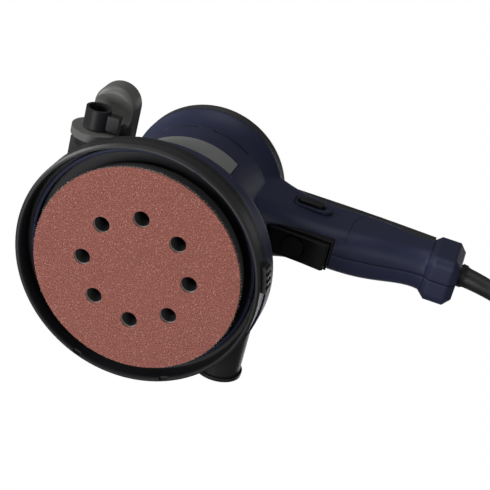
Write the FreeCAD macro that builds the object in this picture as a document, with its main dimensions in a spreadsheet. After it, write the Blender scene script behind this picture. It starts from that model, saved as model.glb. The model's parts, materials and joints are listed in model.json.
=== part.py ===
import FreeCAD, Part
import math
import os
import Sketcher

# Electric orbital sander with a pistol-straight rear handle, a dust ring and a front side handle.
#
# Frame, in millimetres: the origin is on the motor shaft's axis, in the plane of the abrasive's
# face, which is what the sander stands on. +Z runs up the motor, +X runs back along the handle
# and +Y is the user's right. Every length comes from the spreadsheet "Sizes".

document = FreeCAD.newDocument("OrbitalSander")
sheet = document.addObject("Spreadsheet::Sheet", "Sizes")

SIZES = (
    # abrasive and pad
    ("disc_radius", 62.5), ("paper_thickness", 1.0), ("hook_thickness", 1.4),
    ("foam_thickness", 9.0), ("plate_thickness", 4.0), ("hook_inset", 0.8),
    ("foam_inset", 1.0), ("plate_inset", 4.5), ("dust_hole_radius", 5.0),
    ("dust_hole_circle", 32.5), ("dust_hole_count", 8), ("orbit_offset", 1.5),
    ("screw_head_radius", 7.0), ("screw_head_height", 3.6), ("screw_radius", 3.0),
    ("washer_radius", 8.5), ("washer_thickness", 1.2), ("head_pocket_radius", 10.0),
    # dust ring
    ("ring_gap", 9.0), ("ring_wall", 3.0), ("ring_bottom", 3.0), ("ring_over_pad", 2.6),
    ("ring_chamfer", 1.2), ("ring_shelf", 2.5), ("ring_groove_width", 0.7),
    ("ring_groove_depth", 0.5), ("tab_length", 15.0), ("tab_height", 9.0), ("tab_out", 3.4),
    # housing body of revolution, heights counted from its lower edge
    ("seam", 0.3), ("housing_wall", 2.5), ("drum_inset", 2.5), ("drum_height", 5.7),
    ("lip_clearance", 0.6), ("lip_wall", 2.2), ("lip_drop", 4.5), ("neck_bend", 52.0),
    ("motor_radius", 48.0), ("neck_height", 42.0), ("groove_height", 104.0),
    ("groove_width", 3.6), ("groove_depth", 1.4), ("flare_out", 4.5), ("flare_height", 123.4),
    ("flare_bend", 26.0), ("rim_width", 1.0), ("dome_inset", 2.7), ("dome_shoulder", 129.0),
    ("dome_height", 136.0), ("dome_bend", 12.0), ("volute_shift", 3.6), ("volute_low", 2.0),
    ("volute_high", 16.0),
    # vent slots, badge and rating plate
    ("slot_height", 2.0), ("slot_low", 99.5), ("slot_sweep", 33.0), ("slot_pitch", 44.0),
    ("badge_low", 55.0), ("badge_height", 24.0), ("badge_depth", 0.8), ("badge_gap", 0.7),
    # soft cover
    ("cover_thickness", 2.5), ("cover_rise", 3.6), ("cover_bend", 9.0), ("cover_half", 13.4),
    ("cover_skirt", 9.0), ("rib_pitch", 14.5), ("rib_width", 5.0), ("rib_rise", 1.1),
    # handle, stations counted back from the motor's surface
    ("handle_corner", 12.5),
    ("root_back", -14.0), ("root_half", 26.0), ("root_low", 66.0), ("root_top", 136.6),
    ("neck_back", 2.0), ("neck_half", 20.5), ("neck_low", 76.0), ("neck_top", 136.6),
    ("front_back", 20.0), ("front_half", 16.0), ("front_low", 81.0), ("front_top", 136.6),
    ("grip_back", 49.0), ("grip_half", 15.0), ("grip_low", 83.5), ("grip_top", 136.6),
    ("palm_back", 82.0), ("palm_half", 15.0), ("palm_low", 91.0), ("palm_top", 135.6),
    ("heel_back", 108.0), ("heel_half", 15.0), ("heel_low", 97.0), ("heel_top", 134.0),
    ("tail_drop", 3.0), ("tail_widen", 0.9), ("tail_ramp", 4.0), ("tail_length", 21.0),
    ("tail_corner", 6.0), ("tail_nose", 4.5), ("end_wall", 4.0),
    # trigger, dial and lock button
    ("trigger_front", 6.5), ("trigger_length", 41.0), ("trigger_half", 8.6),
    ("trigger_low", 75.6), ("trigger_height", 9.5), ("trigger_clearance", 0.5),
    ("trigger_travel", 5.0), ("bezel_width", 0.9), ("bezel_height", 4.0),
    ("dial_radius", 7.2), ("dial_height", 7.0), ("dial_back", 19.0), ("dial_clearance", 0.4),
    ("dial_drop", 1.2), ("spring_radius", 2.6), ("spring_length", 10.0),
    ("button_back", 26.0), ("button_height", 109.5), ("button_length", 18.0),
    ("button_width", 7.6), ("button_out", 3.8), ("button_travel", 3.0), ("button_gap", 0.4),
    ("button_rim", 2.6), ("button_rim_end", 5.4), ("button_rim_rise", 1.6),
    # switch, electronics and cord
    ("switch_length", 32.0), ("switch_half", 8.5), ("switch_height", 12.0),
    ("board_length", 34.0), ("board_height", 20.0), ("board_thickness", 1.6),
    ("capacitor_length", 18.0), ("capacitor_height", 12.0), ("capacitor_width", 8.0),
    ("clamp_length", 12.0), ("clamp_thickness", 3.0), ("cord_radius", 3.5),
    ("cord_height", 116.7), ("guard_radius", 6.8), ("guard_tip_radius", 5.2),
    ("guard_length", 46.0), ("guard_bend", 82.0), ("guard_dip", 11.0), ("guard_flange", 9.0),
    # screws
    ("boss_radius", 4.0), ("housing_screw_radius", 1.75), ("housing_screw_head", 3.4),
    ("housing_screw_sink", 2.4),
    # rotor
    ("shaft_radius", 5.0), ("shaft_top_radius", 4.0), ("spindle_radius", 6.0),
    ("pad_bearing_radius", 14.0), ("pad_bearing_width", 9.0), ("race_wall", 2.6),
    ("running_fit", 0.04), ("eccentric_wall", 4.0), ("counterweight_radius", 27.0),
    ("fan_radius", 41.0), ("fan_disc", 2.0), ("fan_low", 14.4), ("blade_thickness", 1.6),
    ("blade_length", 13.0), ("upper_blade_height", 6.5), ("lower_blade_height", 8.5),
    ("blade_count", 12), ("lower_bearing_radius", 14.0), ("lower_bearing_width", 9.0),
    ("upper_bearing_radius", 11.0), ("upper_bearing_width", 7.0),
    ("shield_low", 26.0), ("shield_thickness", 3.0), ("core_low", 46.0),
    ("core_height", 36.0), ("core_depth", 16.0), ("air_gap", 0.6), ("stator_gap", 7.5),
    ("winding_overhang", 7.0), ("coil_thickness", 8.0), ("commutator_radius", 11.5),
    ("commutator_height", 11.0), ("commutator_low", 92.0), ("brush_length", 13.0),
    ("brush_width", 6.0), ("brush_height", 8.0), ("holder_wall", 1.4), ("holder_gap", 7.0),
    ("bridge_low", 105.5), ("bridge_thickness", 3.0), ("rotor_clearance", 0.5),
    # dust port
    ("port_x", 57.0), ("port_radius", 13.5), ("port_seat", 22.0), ("duct_step", 0.8),
    ("port_bore", 11.5), ("port_inset", 8.5), ("port_start", 14.0), ("port_flange", 1.4), ("port_lift", 0.5),
    # side handle and its clamp
    ("clamp_step", 0.0883), ("clamp_height", 23.7), ("bracket_step", 2.2883), ("bracket_half", 10.5),
    ("bracket_depth", 26.0), ("hub_radius", 14.0), ("hub_width", 4.8), ("paddle_x", 3.0),
    ("paddle_rise", 26.0), ("paddle_half", 13.0), ("paddle_thickness", 18.0),
    ("paddle_inner", 46.0), ("paddle_outer", 79.0), ("paddle_bend", 4.0),
    ("knob_radius", 7.6), ("knob_width", 12.5), ("knob_bore", 6.1), ("knob_bore_depth", 6.5),
    ("wing_reach", 21.0), ("wing_back", 7.0), ("wing_thickness", 6.0), ("wing_width", 9.5),
    ("bolt_radius", 3.0),
    # cord store and plug
    ("coil_x", 306.0), ("coil_y", 8.0), ("coil_inner", 28.0), ("coil_outer", 50.0),
    ("coil_height", 19.5), ("plug_length", 36.0), ("plug_width", 34.0), ("plug_height", 16.0),
    ("pin_radius", 2.4), ("pin_length", 19.0), ("pin_spacing", 19.0),
)


class Size:
    """A length with its number, and the spreadsheet expression that gives it."""

    def __init__(self, number, text):
        self.number = float(number)
        self.text = text

    @staticmethod
    def of(value):
        """Take a plain number as a size."""
        return value if isinstance(value, Size) else Size(value, "(%r)" % float(value))

    def __add__(self, other):
        other = Size.of(other)
        return Size(self.number + other.number, "(%s + %s)" % (self.text, other.text))

    def __sub__(self, other):
        other = Size.of(other)
        return Size(self.number - other.number, "(%s - %s)" % (self.text, other.text))

    def __mul__(self, other):
        other = Size.of(other)
        return Size(self.number * other.number, "(%s * %s)" % (self.text, other.text))

    def __truediv__(self, other):
        other = Size.of(other)
        return Size(self.number / other.number, "(%s / %s)" % (self.text, other.text))

    def __neg__(self):
        return Size(-self.number, "(0 - %s)" % self.text)

    __radd__ = __add__
    __rmul__ = __mul__

    def __rsub__(self, other):
        return Size.of(other) - self


class Sizes:
    """The spreadsheet's cells, each as an attribute."""


S = Sizes()
for row, (alias, number) in enumerate(SIZES, start=1):
    sheet.set("A%d" % row, alias)
    sheet.set("B%d" % row, str(number))
    sheet.setAlias("B%d" % row, alias)
    setattr(S, alias, Size(number, "Sizes." + alias))
document.recompute()

nodes = []
AXES = {
    "x": FreeCAD.Rotation(FreeCAD.Vector(0, 1, 0), 90),
    "y": FreeCAD.Rotation(FreeCAD.Vector(1, 0, 0), -90),
    "z": FreeCAD.Rotation(),
}


def bind(item, path, size):
    """Give a property its size from the sheet."""
    item.setExpression(path, Size.of(size).text)


def place(item, at, rotation=None):
    """Turn a primitive and move it to a point whose coordinates are sizes."""
    item.Placement = FreeCAD.Placement(FreeCAD.Vector(), rotation or FreeCAD.Rotation())
    for name, coordinate in zip("xyz", at):
        bind(item, "Placement.Base." + name, coordinate)


def cylinder(label, radius, height, at=(0, 0, 0), axis="z", start=None, sweep=None):
    """A round bar along an axis, or the sector of it that starts at an angle about Z."""
    item = document.addObject("Part::Cylinder", label)
    bind(item, "Radius", radius)
    bind(item, "Height", height)
    rotation = AXES[axis]
    if sweep is not None:
        bind(item, "Angle", sweep)
        rotation = FreeCAD.Rotation(FreeCAD.Vector(0, 0, 1), start)
    place(item, at, rotation)
    return item


def box(label, length, width, height, at, turn=0.0):
    """A block with its low corner at a point, turned about Z."""
    item = document.addObject("Part::Box", label)
    bind(item, "Length", length)
    bind(item, "Width", width)
    bind(item, "Height", height)
    place(item, at, FreeCAD.Rotation(FreeCAD.Vector(0, 0, 1), turn))
    return item


def fuse(label, *parts):
    """Join solids into one."""
    item = document.addObject("Part::MultiFuse", label)
    item.Shapes = list(parts)
    item.Refine = False
    return item


def cut(label, base, *tools):
    """Take tools away from a solid."""
    item = document.addObject("Part::Cut", label)
    item.Base = base
    item.Tool = tools[0] if len(tools) == 1 else fuse(label + "_tools", *tools)
    item.Refine = False
    return item


def common(label, first, second):
    """Keep what two solids share."""
    item = document.addObject("Part::Common", label)
    item.Base = first
    item.Tool = second
    item.Refine = False
    return item


def group(label, *parts):
    """Hold identical pieces together as separate solids."""
    item = document.addObject("Part::Compound", label)
    item.Links = list(parts)
    return item


def node(name, item):
    """Name a finished sub-part; its label names its file."""
    item.Label = name
    nodes.append(item)
    return item


def tube(label, outer, inner, height, at=(0, 0, 0), axis="z"):
    """A round tube along an axis, its bore running past both faces."""
    past = 1.0
    shift = {"x": (-past, 0, 0), "y": (0, -past, 0), "z": (0, 0, -past)}[axis]
    start = tuple(Size.of(coordinate) + step for coordinate, step in zip(at, shift))
    return cut(label, cylinder(label + "_out", outer, height, at, axis),
               cylinder(label + "_bore", inner, Size.of(height) + 2 * past, start, axis))


def sector(label, outer, inner, height, low, start, sweep):
    """A curved plate: part of a tube about the Z axis."""
    return cut(label, cylinder(label + "_out", outer, height, (0, 0, low), "z", start, sweep),
               cylinder(label + "_in", inner, Size.of(height) + 2, (0, 0, Size.of(low) - 1)))


def new_body(label):
    """An empty PartDesign body."""
    return document.addObject("PartDesign::Body", label)


def new_sketch(body, role, offset=None):
    """A sketch on one of a body's own origin planes, moved along its normal."""
    sketch = body.newObject("Sketcher::SketchObject", body.Name + "_sketch")
    plane = [item for item in body.Origin.OriginFeatures if item.Role == role][0]
    sketch.AttachmentSupport = [(plane, "")]
    sketch.MapMode = "FlatFace"
    if offset is not None:
        bind(sketch, "AttachmentOffset.Base.z", offset)
    return sketch


def constrain(sketch, kind, size, *where):
    """A dimension whose value comes from the sheet."""
    index = sketch.addConstraint(Sketcher.Constraint(kind, *where, size.number))
    sketch.setExpression("Constraints[%d]" % index, size.text)


def arc_between(first, last, radius, leftward):
    """The shorter arc from one point to another, turning left or right."""
    middle = (first + last) * 0.5
    half = (last - first).Length / 2
    across = FreeCAD.Vector(first.y - last.y, last.x - first.x, 0).normalize()
    rise = math.sqrt(max(radius ** 2 - half ** 2, 0.0))
    centre = middle + across * (rise if leftward else -rise)
    start, end = (first, last) if leftward else (last, first)
    circle = Part.Circle(centre, FreeCAD.Vector(0, 0, 1), radius)
    angles = [math.atan2(point.y - centre.y, point.x - centre.x) for point in (start, end)]
    return Part.ArcOfCircle(circle, angles[0], angles[1])


def outline(sketch, corners):
    """Draw a closed outline. A corner is (x, y), or (x, y, radius) where an arc leaves it:
    the radius is positive where the arc turns left."""
    corners = [tuple(Size.of(value) for value in corner) for corner in corners]
    points = [FreeCAD.Vector(corner[0].number, corner[1].number, 0) for corner in corners]
    ends = []
    for index, corner in enumerate(corners):
        first, last = points[index], points[(index + 1) % len(points)]
        if len(corner) == 2:
            ends.append((sketch.addGeometry(Part.LineSegment(first, last), False), 1, 2))
            continue
        leftward = corner[2].number > 0
        radius = corner[2] if leftward else -corner[2]
        arc = arc_between(first, last, radius.number, leftward)
        edge = sketch.addGeometry(arc, False)
        ends.append((edge, 1, 2) if leftward else (edge, 2, 1))
        constrain(sketch, "Radius", radius, edge)
    for index, (edge, start, end) in enumerate(ends):
        following = ends[(index + 1) % len(ends)]
        sketch.addConstraint(Sketcher.Constraint("Coincident", edge, end, following[0], following[1]))
        constrain(sketch, "DistanceX", corners[index][0], -1, 1, edge, start)
        constrain(sketch, "DistanceY", corners[index][1], -1, 1, edge, start)


def revolved(label, corners):
    """A body of revolution about Z from its (radius, height) outline."""
    body = new_body(label)
    sketch = new_sketch(body, "XZ_Plane")
    outline(sketch, corners)
    turn = body.newObject("PartDesign::Revolution", label + "_turn")
    turn.Profile = sketch
    turn.ReferenceAxis = (sketch, ["V_Axis"])
    turn.Angle = 360
    body.Tip = turn
    return body


def extruded(label, role, corners, low, high):
    """A prism whose outline lies on an origin plane and runs between two offsets."""
    body = new_body(label)
    sketch = new_sketch(body, role, low)
    outline(sketch, corners)
    pad = body.newObject("PartDesign::Pad", label + "_pad")
    pad.Profile = sketch
    bind(pad, "Length", high - low)
    body.Tip = pad
    return body


def rounded(half_width, low, high, corner, middle=0.0):
    """The outline of a rounded rectangle, from its half width and its two heights."""
    left, right = Size.of(middle) - half_width, Size.of(middle) + half_width
    return [(left + corner, low), (right - corner, low, corner), (right, low + corner),
            (right, high - corner, corner), (right - corner, high), (left + corner, high, corner),
            (left, high - corner), (left, low + corner, corner)]


def lofted(label, role, sections, ruled=False):
    """A solid through outlines at several offsets from an origin plane."""
    body = new_body(label)
    sketches = []
    for offset, corners in sections:
        sketches.append(new_sketch(body, role, offset))
        outline(sketches[-1], corners)
    loft = body.newObject("PartDesign::AdditiveLoft", label + "_loft")
    loft.Profile = sketches[0]
    loft.Sections = sketches[1:]
    loft.Ruled = ruled
    body.Tip = loft
    return body


# Shared heights and radii
paper_top = S.paper_thickness
hook_top = paper_top + S.hook_thickness
foam_top = hook_top + S.foam_thickness
plate_top = foam_top + S.plate_thickness
ring_top = plate_top + S.ring_over_pad
ring_inner = S.disc_radius + S.ring_gap
ring_outer = ring_inner + S.ring_wall
base = ring_top + S.seam
drum_radius = ring_outer - S.drum_inset
lip_outer = ring_inner - S.lip_wall - S.lip_clearance
lip_inner = lip_outer - S.lip_wall
motor_inner = S.motor_radius - S.housing_wall
stator_radius = motor_inner - S.stator_gap
core_radius = stator_radius - S.core_depth
flare_radius = S.motor_radius + S.flare_out
dome_radius = flare_radius - S.dome_inset
pad_x = S.orbit_offset
spindle_low = plate_top


def up(height):
    """A height counted from the housing's lower edge."""
    return base + height


def back(distance):
    """A place along the handle counted from the motor's surface."""
    return S.motor_radius + distance


# Pad: five layers and the screw that holds them to the spindle
# Angle of the first dust hole, in degrees from +X
DUST_HOLE_START = 40.0


def pad_layer(name, radius, low, thickness, bore=None):
    """A round layer of the pad with its ring of dust holes, and a bore at its middle."""
    body = new_body(name + "_blank")
    sketch = new_sketch(body, "XY_Plane", low)
    edge = sketch.addGeometry(Part.Circle(FreeCAD.Vector(pad_x.number, 0, 0),
                                          FreeCAD.Vector(0, 0, 1), radius.number), False)
    constrain(sketch, "Radius", radius, edge)
    constrain(sketch, "DistanceX", pad_x, -1, 1, edge, 3)
    sketch.addConstraint(Sketcher.Constraint("PointOnObject", edge, 3, -1))
    disc = body.newObject("PartDesign::Pad", name + "_disc")
    disc.Profile = sketch
    bind(disc, "Length", thickness)
    body.Tip = disc
    holes = []
    for index in range(int(S.dust_hole_count.number)):
        angle = math.radians(DUST_HOLE_START + 360.0 * index / S.dust_hole_count.number)
        middle = (pad_x + S.dust_hole_circle * math.cos(angle),
                  S.dust_hole_circle * math.sin(angle), low - 1)
        holes.append(cylinder("%s_hole_%d" % (name, index), S.dust_hole_radius, thickness + 2, middle))
    if bore is not None:
        holes.append(cylinder(name + "_bore", bore, thickness + 2, (pad_x, 0, low - 1)))
    return node(name, cut(name, body, *holes))


pad_layer("abrasive_disc", S.disc_radius, Size.of(0), S.paper_thickness)
pad_layer("hook_layer", S.disc_radius - S.hook_inset, paper_top, S.hook_thickness,
          S.head_pocket_radius)
pad_layer("pad_foam", S.disc_radius - S.foam_inset, hook_top, S.foam_thickness,
          S.head_pocket_radius)
pad_layer("backing_plate", S.disc_radius - S.plate_inset, foam_top, S.plate_thickness,
          S.screw_radius)

bearing_low = up(0.9)
node("pad_spindle", cut(
    "pad_spindle",
    fuse("spindle_body",
         cylinder("spindle_flange", S.pad_bearing_radius, base - plate_top, (pad_x, 0, plate_top)),
         cylinder("spindle_shank", S.spindle_radius, bearing_low + S.pad_bearing_width - plate_top,
                  (pad_x, 0, plate_top))),
    cylinder("spindle_thread", S.screw_radius, bearing_low - plate_top + S.pad_bearing_width - 2,
             (pad_x, 0, plate_top - 1))))
node("pad_screw", fuse(
    "pad_screw",
    cylinder("pad_screw_head", S.screw_head_radius, S.screw_head_height,
             (pad_x, 0, foam_top - S.washer_thickness - S.screw_head_height)),
    cylinder("pad_screw_shank", S.screw_radius, plate_top + 6 - foam_top + S.washer_thickness,
             (pad_x, 0, foam_top - S.washer_thickness))))
node("pad_washer", tube("pad_washer", S.washer_radius, S.screw_radius, S.washer_thickness,
                        (pad_x, 0, foam_top - S.washer_thickness)))


# Rotor
def bearing(name, bore, radius, width, at):
    """A ball bearing: two races and a ring of balls, each its own solid."""
    x, y, low = at
    gap = 0.15
    inner_wall = bore + S.race_wall
    outer_wall = radius - S.race_wall
    races = [tube(name + "_inner", inner_wall, bore, width, at),
             tube(name + "_outer", radius, outer_wall, width, at)]
    ball_radius = (outer_wall - inner_wall) / 2 - gap
    count = 8
    for index in range(count):
        ball = document.addObject("Part::Sphere", "%s_ball_%d" % (name, index))
        bind(ball, "Radius", ball_radius)
        angle = math.tau * index / count
        reach = (inner_wall + outer_wall) / 2
        place(ball, (x + reach * math.cos(angle), y + reach * math.sin(angle), low + width / 2))
        races.append(ball)
    return node(name, group(name, *races))


bearing("pad_bearing", S.spindle_radius + S.running_fit, S.pad_bearing_radius,
        S.pad_bearing_width, (pad_x, 0, bearing_low))
bearing_top = bearing_low + S.pad_bearing_width
eccentric_top = up(S.fan_low)
node("eccentric", cut(
    "eccentric",
    fuse("eccentric_body",
         cylinder("eccentric_drum", S.pad_bearing_radius + S.eccentric_wall,
                  eccentric_top - bearing_low, (pad_x, 0, bearing_low)),
         sector("counterweight", S.counterweight_radius, S.pad_bearing_radius,
                S.pad_bearing_width / 2, bearing_low + 1, 115, 130)),
    cylinder("eccentric_bore", S.pad_bearing_radius, S.pad_bearing_width + 1,
             (pad_x, 0, bearing_low - 1)),
    cylinder("eccentric_shaft_bore", S.shaft_radius, S.pad_bearing_width + 20,
             (0, 0, bearing_top + 1))))
shaft_low = bearing_top + 1
shaft_step = up(S.bridge_low) - 1
upper_bearing_low = up(S.bridge_low) + 2
node("motor_shaft", fuse(
    "motor_shaft",
    cylinder("shaft_lower", S.shaft_radius, shaft_step - shaft_low, (0, 0, shaft_low)),
    cylinder("shaft_upper", S.shaft_top_radius, upper_bearing_low + S.upper_bearing_width - shaft_low,
             (0, 0, shaft_low))))


def fan():
    """The fan: a disc with cooling blades above and dust blades below."""
    low = up(S.fan_low)
    blades = []
    count = int(S.blade_count.number)
    for index in range(count):
        turn = 360.0 * index / count
        for side, height in (("upper", S.upper_blade_height), ("lower", S.lower_blade_height)):
            bottom = low + S.fan_disc if side == "upper" else low - height
            blade = box("fan_%s_blade_%d" % (side, index), S.blade_length, S.blade_thickness,
                        height, (0, 0, 0))
            inner = S.fan_radius - S.blade_length
            angle = math.radians(turn)
            place(blade, (inner * math.cos(angle), inner * math.sin(angle), bottom),
                  FreeCAD.Rotation(FreeCAD.Vector(0, 0, 1), turn + 12))
            blades.append(blade)
    disc = tube("fan_disc_plate", S.fan_radius, S.shaft_radius, S.fan_disc, (0, 0, low))
    hub = tube("fan_hub", S.shaft_radius + 4, S.shaft_radius, S.upper_blade_height,
               (0, 0, low + S.fan_disc))
    return node("cooling_fan", fuse("cooling_fan", disc, hub, *blades))


fan()
lower_bearing_low = up(S.shield_low) + S.shield_thickness
bearing("lower_bearing", S.shaft_radius, S.lower_bearing_radius, S.lower_bearing_width,
        (0, 0, lower_bearing_low))
bearing("upper_bearing", S.shaft_top_radius, S.upper_bearing_radius, S.upper_bearing_width,
        (0, 0, upper_bearing_low))

core_low = up(S.core_low)
node("armature_core", tube("armature_core", core_radius, S.shaft_radius, S.core_height,
                           (0, 0, core_low)))
node("armature_windings", group(
    "armature_windings",
    tube("winding_low", core_radius - 2, S.shaft_radius + 3, S.winding_overhang - 1,
         (0, 0, core_low - S.winding_overhang + 1)),
    tube("winding_high", core_radius - 2, S.shaft_radius + 3, S.winding_overhang - 1,
         (0, 0, core_low + S.core_height))))
commutator_low = up(S.commutator_low)
commutator_slots = [
    box("commutator_slot_%d" % index, S.commutator_radius * 2 + 2, 0.6, S.commutator_height,
        (0, 0, 0)) for index in range(6)]
for index, slot in enumerate(commutator_slots):
    angle = math.radians(30.0 * index)
    reach = S.commutator_radius + 1
    place(slot, (reach * -math.cos(angle), reach * -math.sin(angle),
                 commutator_low + 2), FreeCAD.Rotation(FreeCAD.Vector(0, 0, 1), 30.0 * index))
node("commutator", cut(
    "commutator",
    tube("commutator_body", S.commutator_radius, S.shaft_radius, S.commutator_height,
         (0, 0, commutator_low)),
    cut("commutator_cuts", fuse("commutator_slots", *commutator_slots),
        cylinder("commutator_heart", S.commutator_radius - 1, S.commutator_height + 2,
                 (0, 0, commutator_low)))))

# Stator, shields and brushes
coil_outer = core_radius + S.air_gap + 1.5 + S.coil_thickness
field_coils = [
    sector("field_coil_%d" % index, coil_outer, core_radius + S.air_gap + 1.5,
           S.core_height + 2 * S.winding_overhang, core_low - S.winding_overhang, start, 100)
    for index, start in enumerate((40, 220))]
node("field_coils", group("field_coils", *field_coils))
node("stator_core", cut(
    "stator_core",
    tube("stator_body", stator_radius, core_radius + S.air_gap, S.core_height, (0, 0, core_low)),
    *[sector("stator_slot_%d" % index, coil_outer, core_radius + S.air_gap + 1.5,
             S.core_height + 2, core_low - 1, start, 100) for index, start in enumerate((40, 220))]))

shield_radius = motor_inner - 0.2
node("bearing_shield", cut(
    "bearing_shield",
    fuse("shield_body",
         cylinder("shield_plate", shield_radius, S.shield_thickness, (0, 0, up(S.shield_low))),
         cylinder("shield_hub", S.lower_bearing_radius + 3,
                  S.lower_bearing_width + S.shield_thickness, (0, 0, up(S.shield_low)))),
    cylinder("shield_seat", S.lower_bearing_radius, S.lower_bearing_width + 2,
             (0, 0, lower_bearing_low)),
    cylinder("shield_bore", S.shaft_radius + 2, S.shield_thickness + 4,
             (0, 0, up(S.shield_low) - 2)),
    *[cylinder("shield_vent_%d" % index, 7, S.shield_thickness + 4,
               (29 * math.cos(math.radians(60 * index)), 29 * math.sin(math.radians(60 * index)),
                up(S.shield_low) - 2)) for index in range(6)]))
bridge_low = up(S.bridge_low)
node("bearing_bridge", cut(
    "bearing_bridge",
    fuse("bridge_body",
         cylinder("bridge_hub", S.upper_bearing_radius + 3, S.upper_bearing_width + 4,
                  (0, 0, bridge_low)),
         box("bridge_bar", 2 * (motor_inner - 3), 16, S.bridge_thickness,
             (-(motor_inner - 3), -8, bridge_low)),
         box("bridge_cross", 16, 2 * (motor_inner - 3), S.bridge_thickness,
             (-8, -(motor_inner - 3), bridge_low))),
    cylinder("bridge_seat", S.upper_bearing_radius, S.upper_bearing_width + 4,
             (0, 0, upper_bearing_low)),
    cylinder("bridge_bore", S.shaft_radius + 1, 20, (0, 0, bridge_low - 5))))

brush_low = commutator_low + (S.commutator_height - S.brush_height) / 2 + 0.5
holder_out = motor_inner - S.holder_gap
holder_length = holder_out - S.commutator_radius - 3
holders = []
brushes = []
springs = []
for side, turn in (("left", -90.0), ("right", 90.0)):
    sign = 1 if turn > 0 else -1
    wide = S.brush_width + 2 * S.holder_wall
    tall = S.brush_height + 2 * S.holder_wall
    start = S.commutator_radius + 3 if sign > 0 else -holder_out
    holders.append(cut(
        "brush_holder_" + side,
        box("holder_block_" + side, wide, holder_length, tall,
            (-(wide / 2), start, brush_low - S.holder_wall)),
        box("holder_slot_" + side, S.brush_width, holder_length + 10, S.brush_height,
            (-(S.brush_width / 2), start - (6 if sign > 0 else 4), brush_low))))
    inner = S.commutator_radius + 0.2
    brush_start = inner if sign > 0 else -(inner + S.brush_length)
    brushes.append(box("carbon_brush_" + side, S.brush_width - 0.4, S.brush_length,
                       S.brush_height - 0.4,
                       (-(S.brush_width / 2) + 0.2, brush_start, brush_low + 0.2)))
    spring_from = inner + S.brush_length
    spring_length = holder_out - spring_from
    spring_start = spring_from if sign > 0 else -holder_out
    springs.append(tube("brush_spring_" + side, 2.2, 1.4, spring_length,
                        (0, spring_start, brush_low + S.brush_height / 2), "y"))
node("brush_holders", group("brush_holders", *holders))
node("carbon_brushes", group("carbon_brushes", *brushes))
node("brush_springs", group("brush_springs", *springs))

# Dust ring, its thumb tab and the inlet plate above the pad
ring_profile = [
    (ring_inner + S.ring_chamfer / 2, S.ring_bottom), (ring_outer - S.ring_chamfer, S.ring_bottom),
    (ring_outer, S.ring_bottom + S.ring_chamfer), (ring_outer, ring_top - S.ring_chamfer),
    (ring_outer - S.ring_chamfer, ring_top), (lip_outer + S.lip_clearance, ring_top),
    (lip_outer + S.lip_clearance, ring_top - S.ring_shelf), (ring_inner, ring_top - S.ring_shelf),
    (ring_inner, S.ring_bottom + S.ring_chamfer)]
ring_grooves = [
    tube("ring_groove_%d" % index, ring_outer + 1, ring_outer - S.ring_groove_depth,
         S.ring_groove_width, (0, 0, ring_top - drop))
    for index, drop in enumerate((3.2, 5.6))]
ring_notch = [
    box("ring_notch_%d" % index, 2.2, 5.0, 3.0, (0, 0, 0)) for index in range(3)]
for notch, turn in zip(ring_notch, (-73.0, 62.0, 107.0)):
    angle = math.radians(turn)
    reach = ring_inner - 0.8
    place(notch, (reach * math.cos(angle), reach * math.sin(angle), S.ring_bottom - 1),
          FreeCAD.Rotation(FreeCAD.Vector(0, 0, 1), turn))
TAB_TURN = -13.0
tab_blocks = [sector("ring_tab_plate", ring_outer + S.tab_out - 1, ring_outer - 1, S.tab_height,
                     ring_top - S.tab_height - 1.5, TAB_TURN - 6, 12)]
for index in range(4):
    tab_blocks.append(sector("ring_tab_rib_%d" % index, ring_outer + S.tab_out, ring_outer - 1,
                             S.tab_height, ring_top - S.tab_height - 1.5,
                             TAB_TURN - 5.2 + 3.0 * index, 1.4))
node("dust_ring", cut("dust_ring", fuse("dust_ring_body", revolved("ring_turned", ring_profile),
                                        *tab_blocks), *ring_grooves, *ring_notch))
inlet_radius = S.counterweight_radius + 3
port_height = base + S.port_radius + S.port_lift
port_end = drum_radius - S.port_inset
inlet_form = revolved("inlet_form", [
    (inlet_radius, base - 0.8), (lip_inner - 0.3, base - 0.8), (lip_inner - 0.3, base + 4.2),
    (lip_inner - 2.0, base + 4.2), (lip_inner - 2.0, base + 0.8), (inlet_radius + 1.5, base + 0.8),
    (inlet_radius + 1.5, base + 2.0), (inlet_radius, base + 2.0)])
node("inlet_plate", cut("inlet_plate", inlet_form,
                        cylinder("inlet_duct", S.port_bore + S.duct_step, port_end - S.port_start,
                                 (S.port_x, S.port_start, port_height), "y")))

# Housing: the outer form, the hollow inside it, and two halves that meet at Y = 0
housing_outer = revolved("bell_outer", [
    (0, base), (drum_radius, base), (drum_radius, up(S.drum_height), -S.neck_bend),
    (S.motor_radius, up(S.neck_height)), (S.motor_radius, up(S.groove_height)),
    (S.motor_radius - S.groove_depth, up(S.groove_height) + 0.8),
    (S.motor_radius - S.groove_depth, up(S.groove_height) + S.groove_width, -S.flare_bend),
    (flare_radius, up(S.flare_height)), (flare_radius, up(S.flare_height) + S.rim_width),
    (dome_radius, up(S.flare_height) + S.rim_width), (dome_radius, up(S.dome_shoulder), S.dome_bend),
    (dome_radius - S.dome_bend, up(S.dome_height)), (0, up(S.dome_height))])
hollow_top = motor_inner - S.groove_depth
housing_inner = revolved("bell_inner", [
    (0, base - 1), (lip_inner, base - 1), (lip_inner, up(S.housing_wall)),
    (drum_radius - S.housing_wall, up(S.housing_wall)),
    (drum_radius - S.housing_wall, up(S.drum_height), -S.neck_bend),
    (motor_inner, up(S.neck_height)), (motor_inner, up(S.groove_height) - 3),
    (hollow_top, up(S.groove_height) - 1), (hollow_top, up(S.dome_shoulder) - 2),
    (hollow_top - 8, up(S.dome_height) - S.housing_wall), (0, up(S.dome_height) - S.housing_wall)])
lip = revolved("bell_lip", [
    (lip_inner, base - S.lip_drop), (lip_outer, base - S.lip_drop),
    (lip_outer, base + S.housing_wall), (lip_inner, base + S.housing_wall)])
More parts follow.
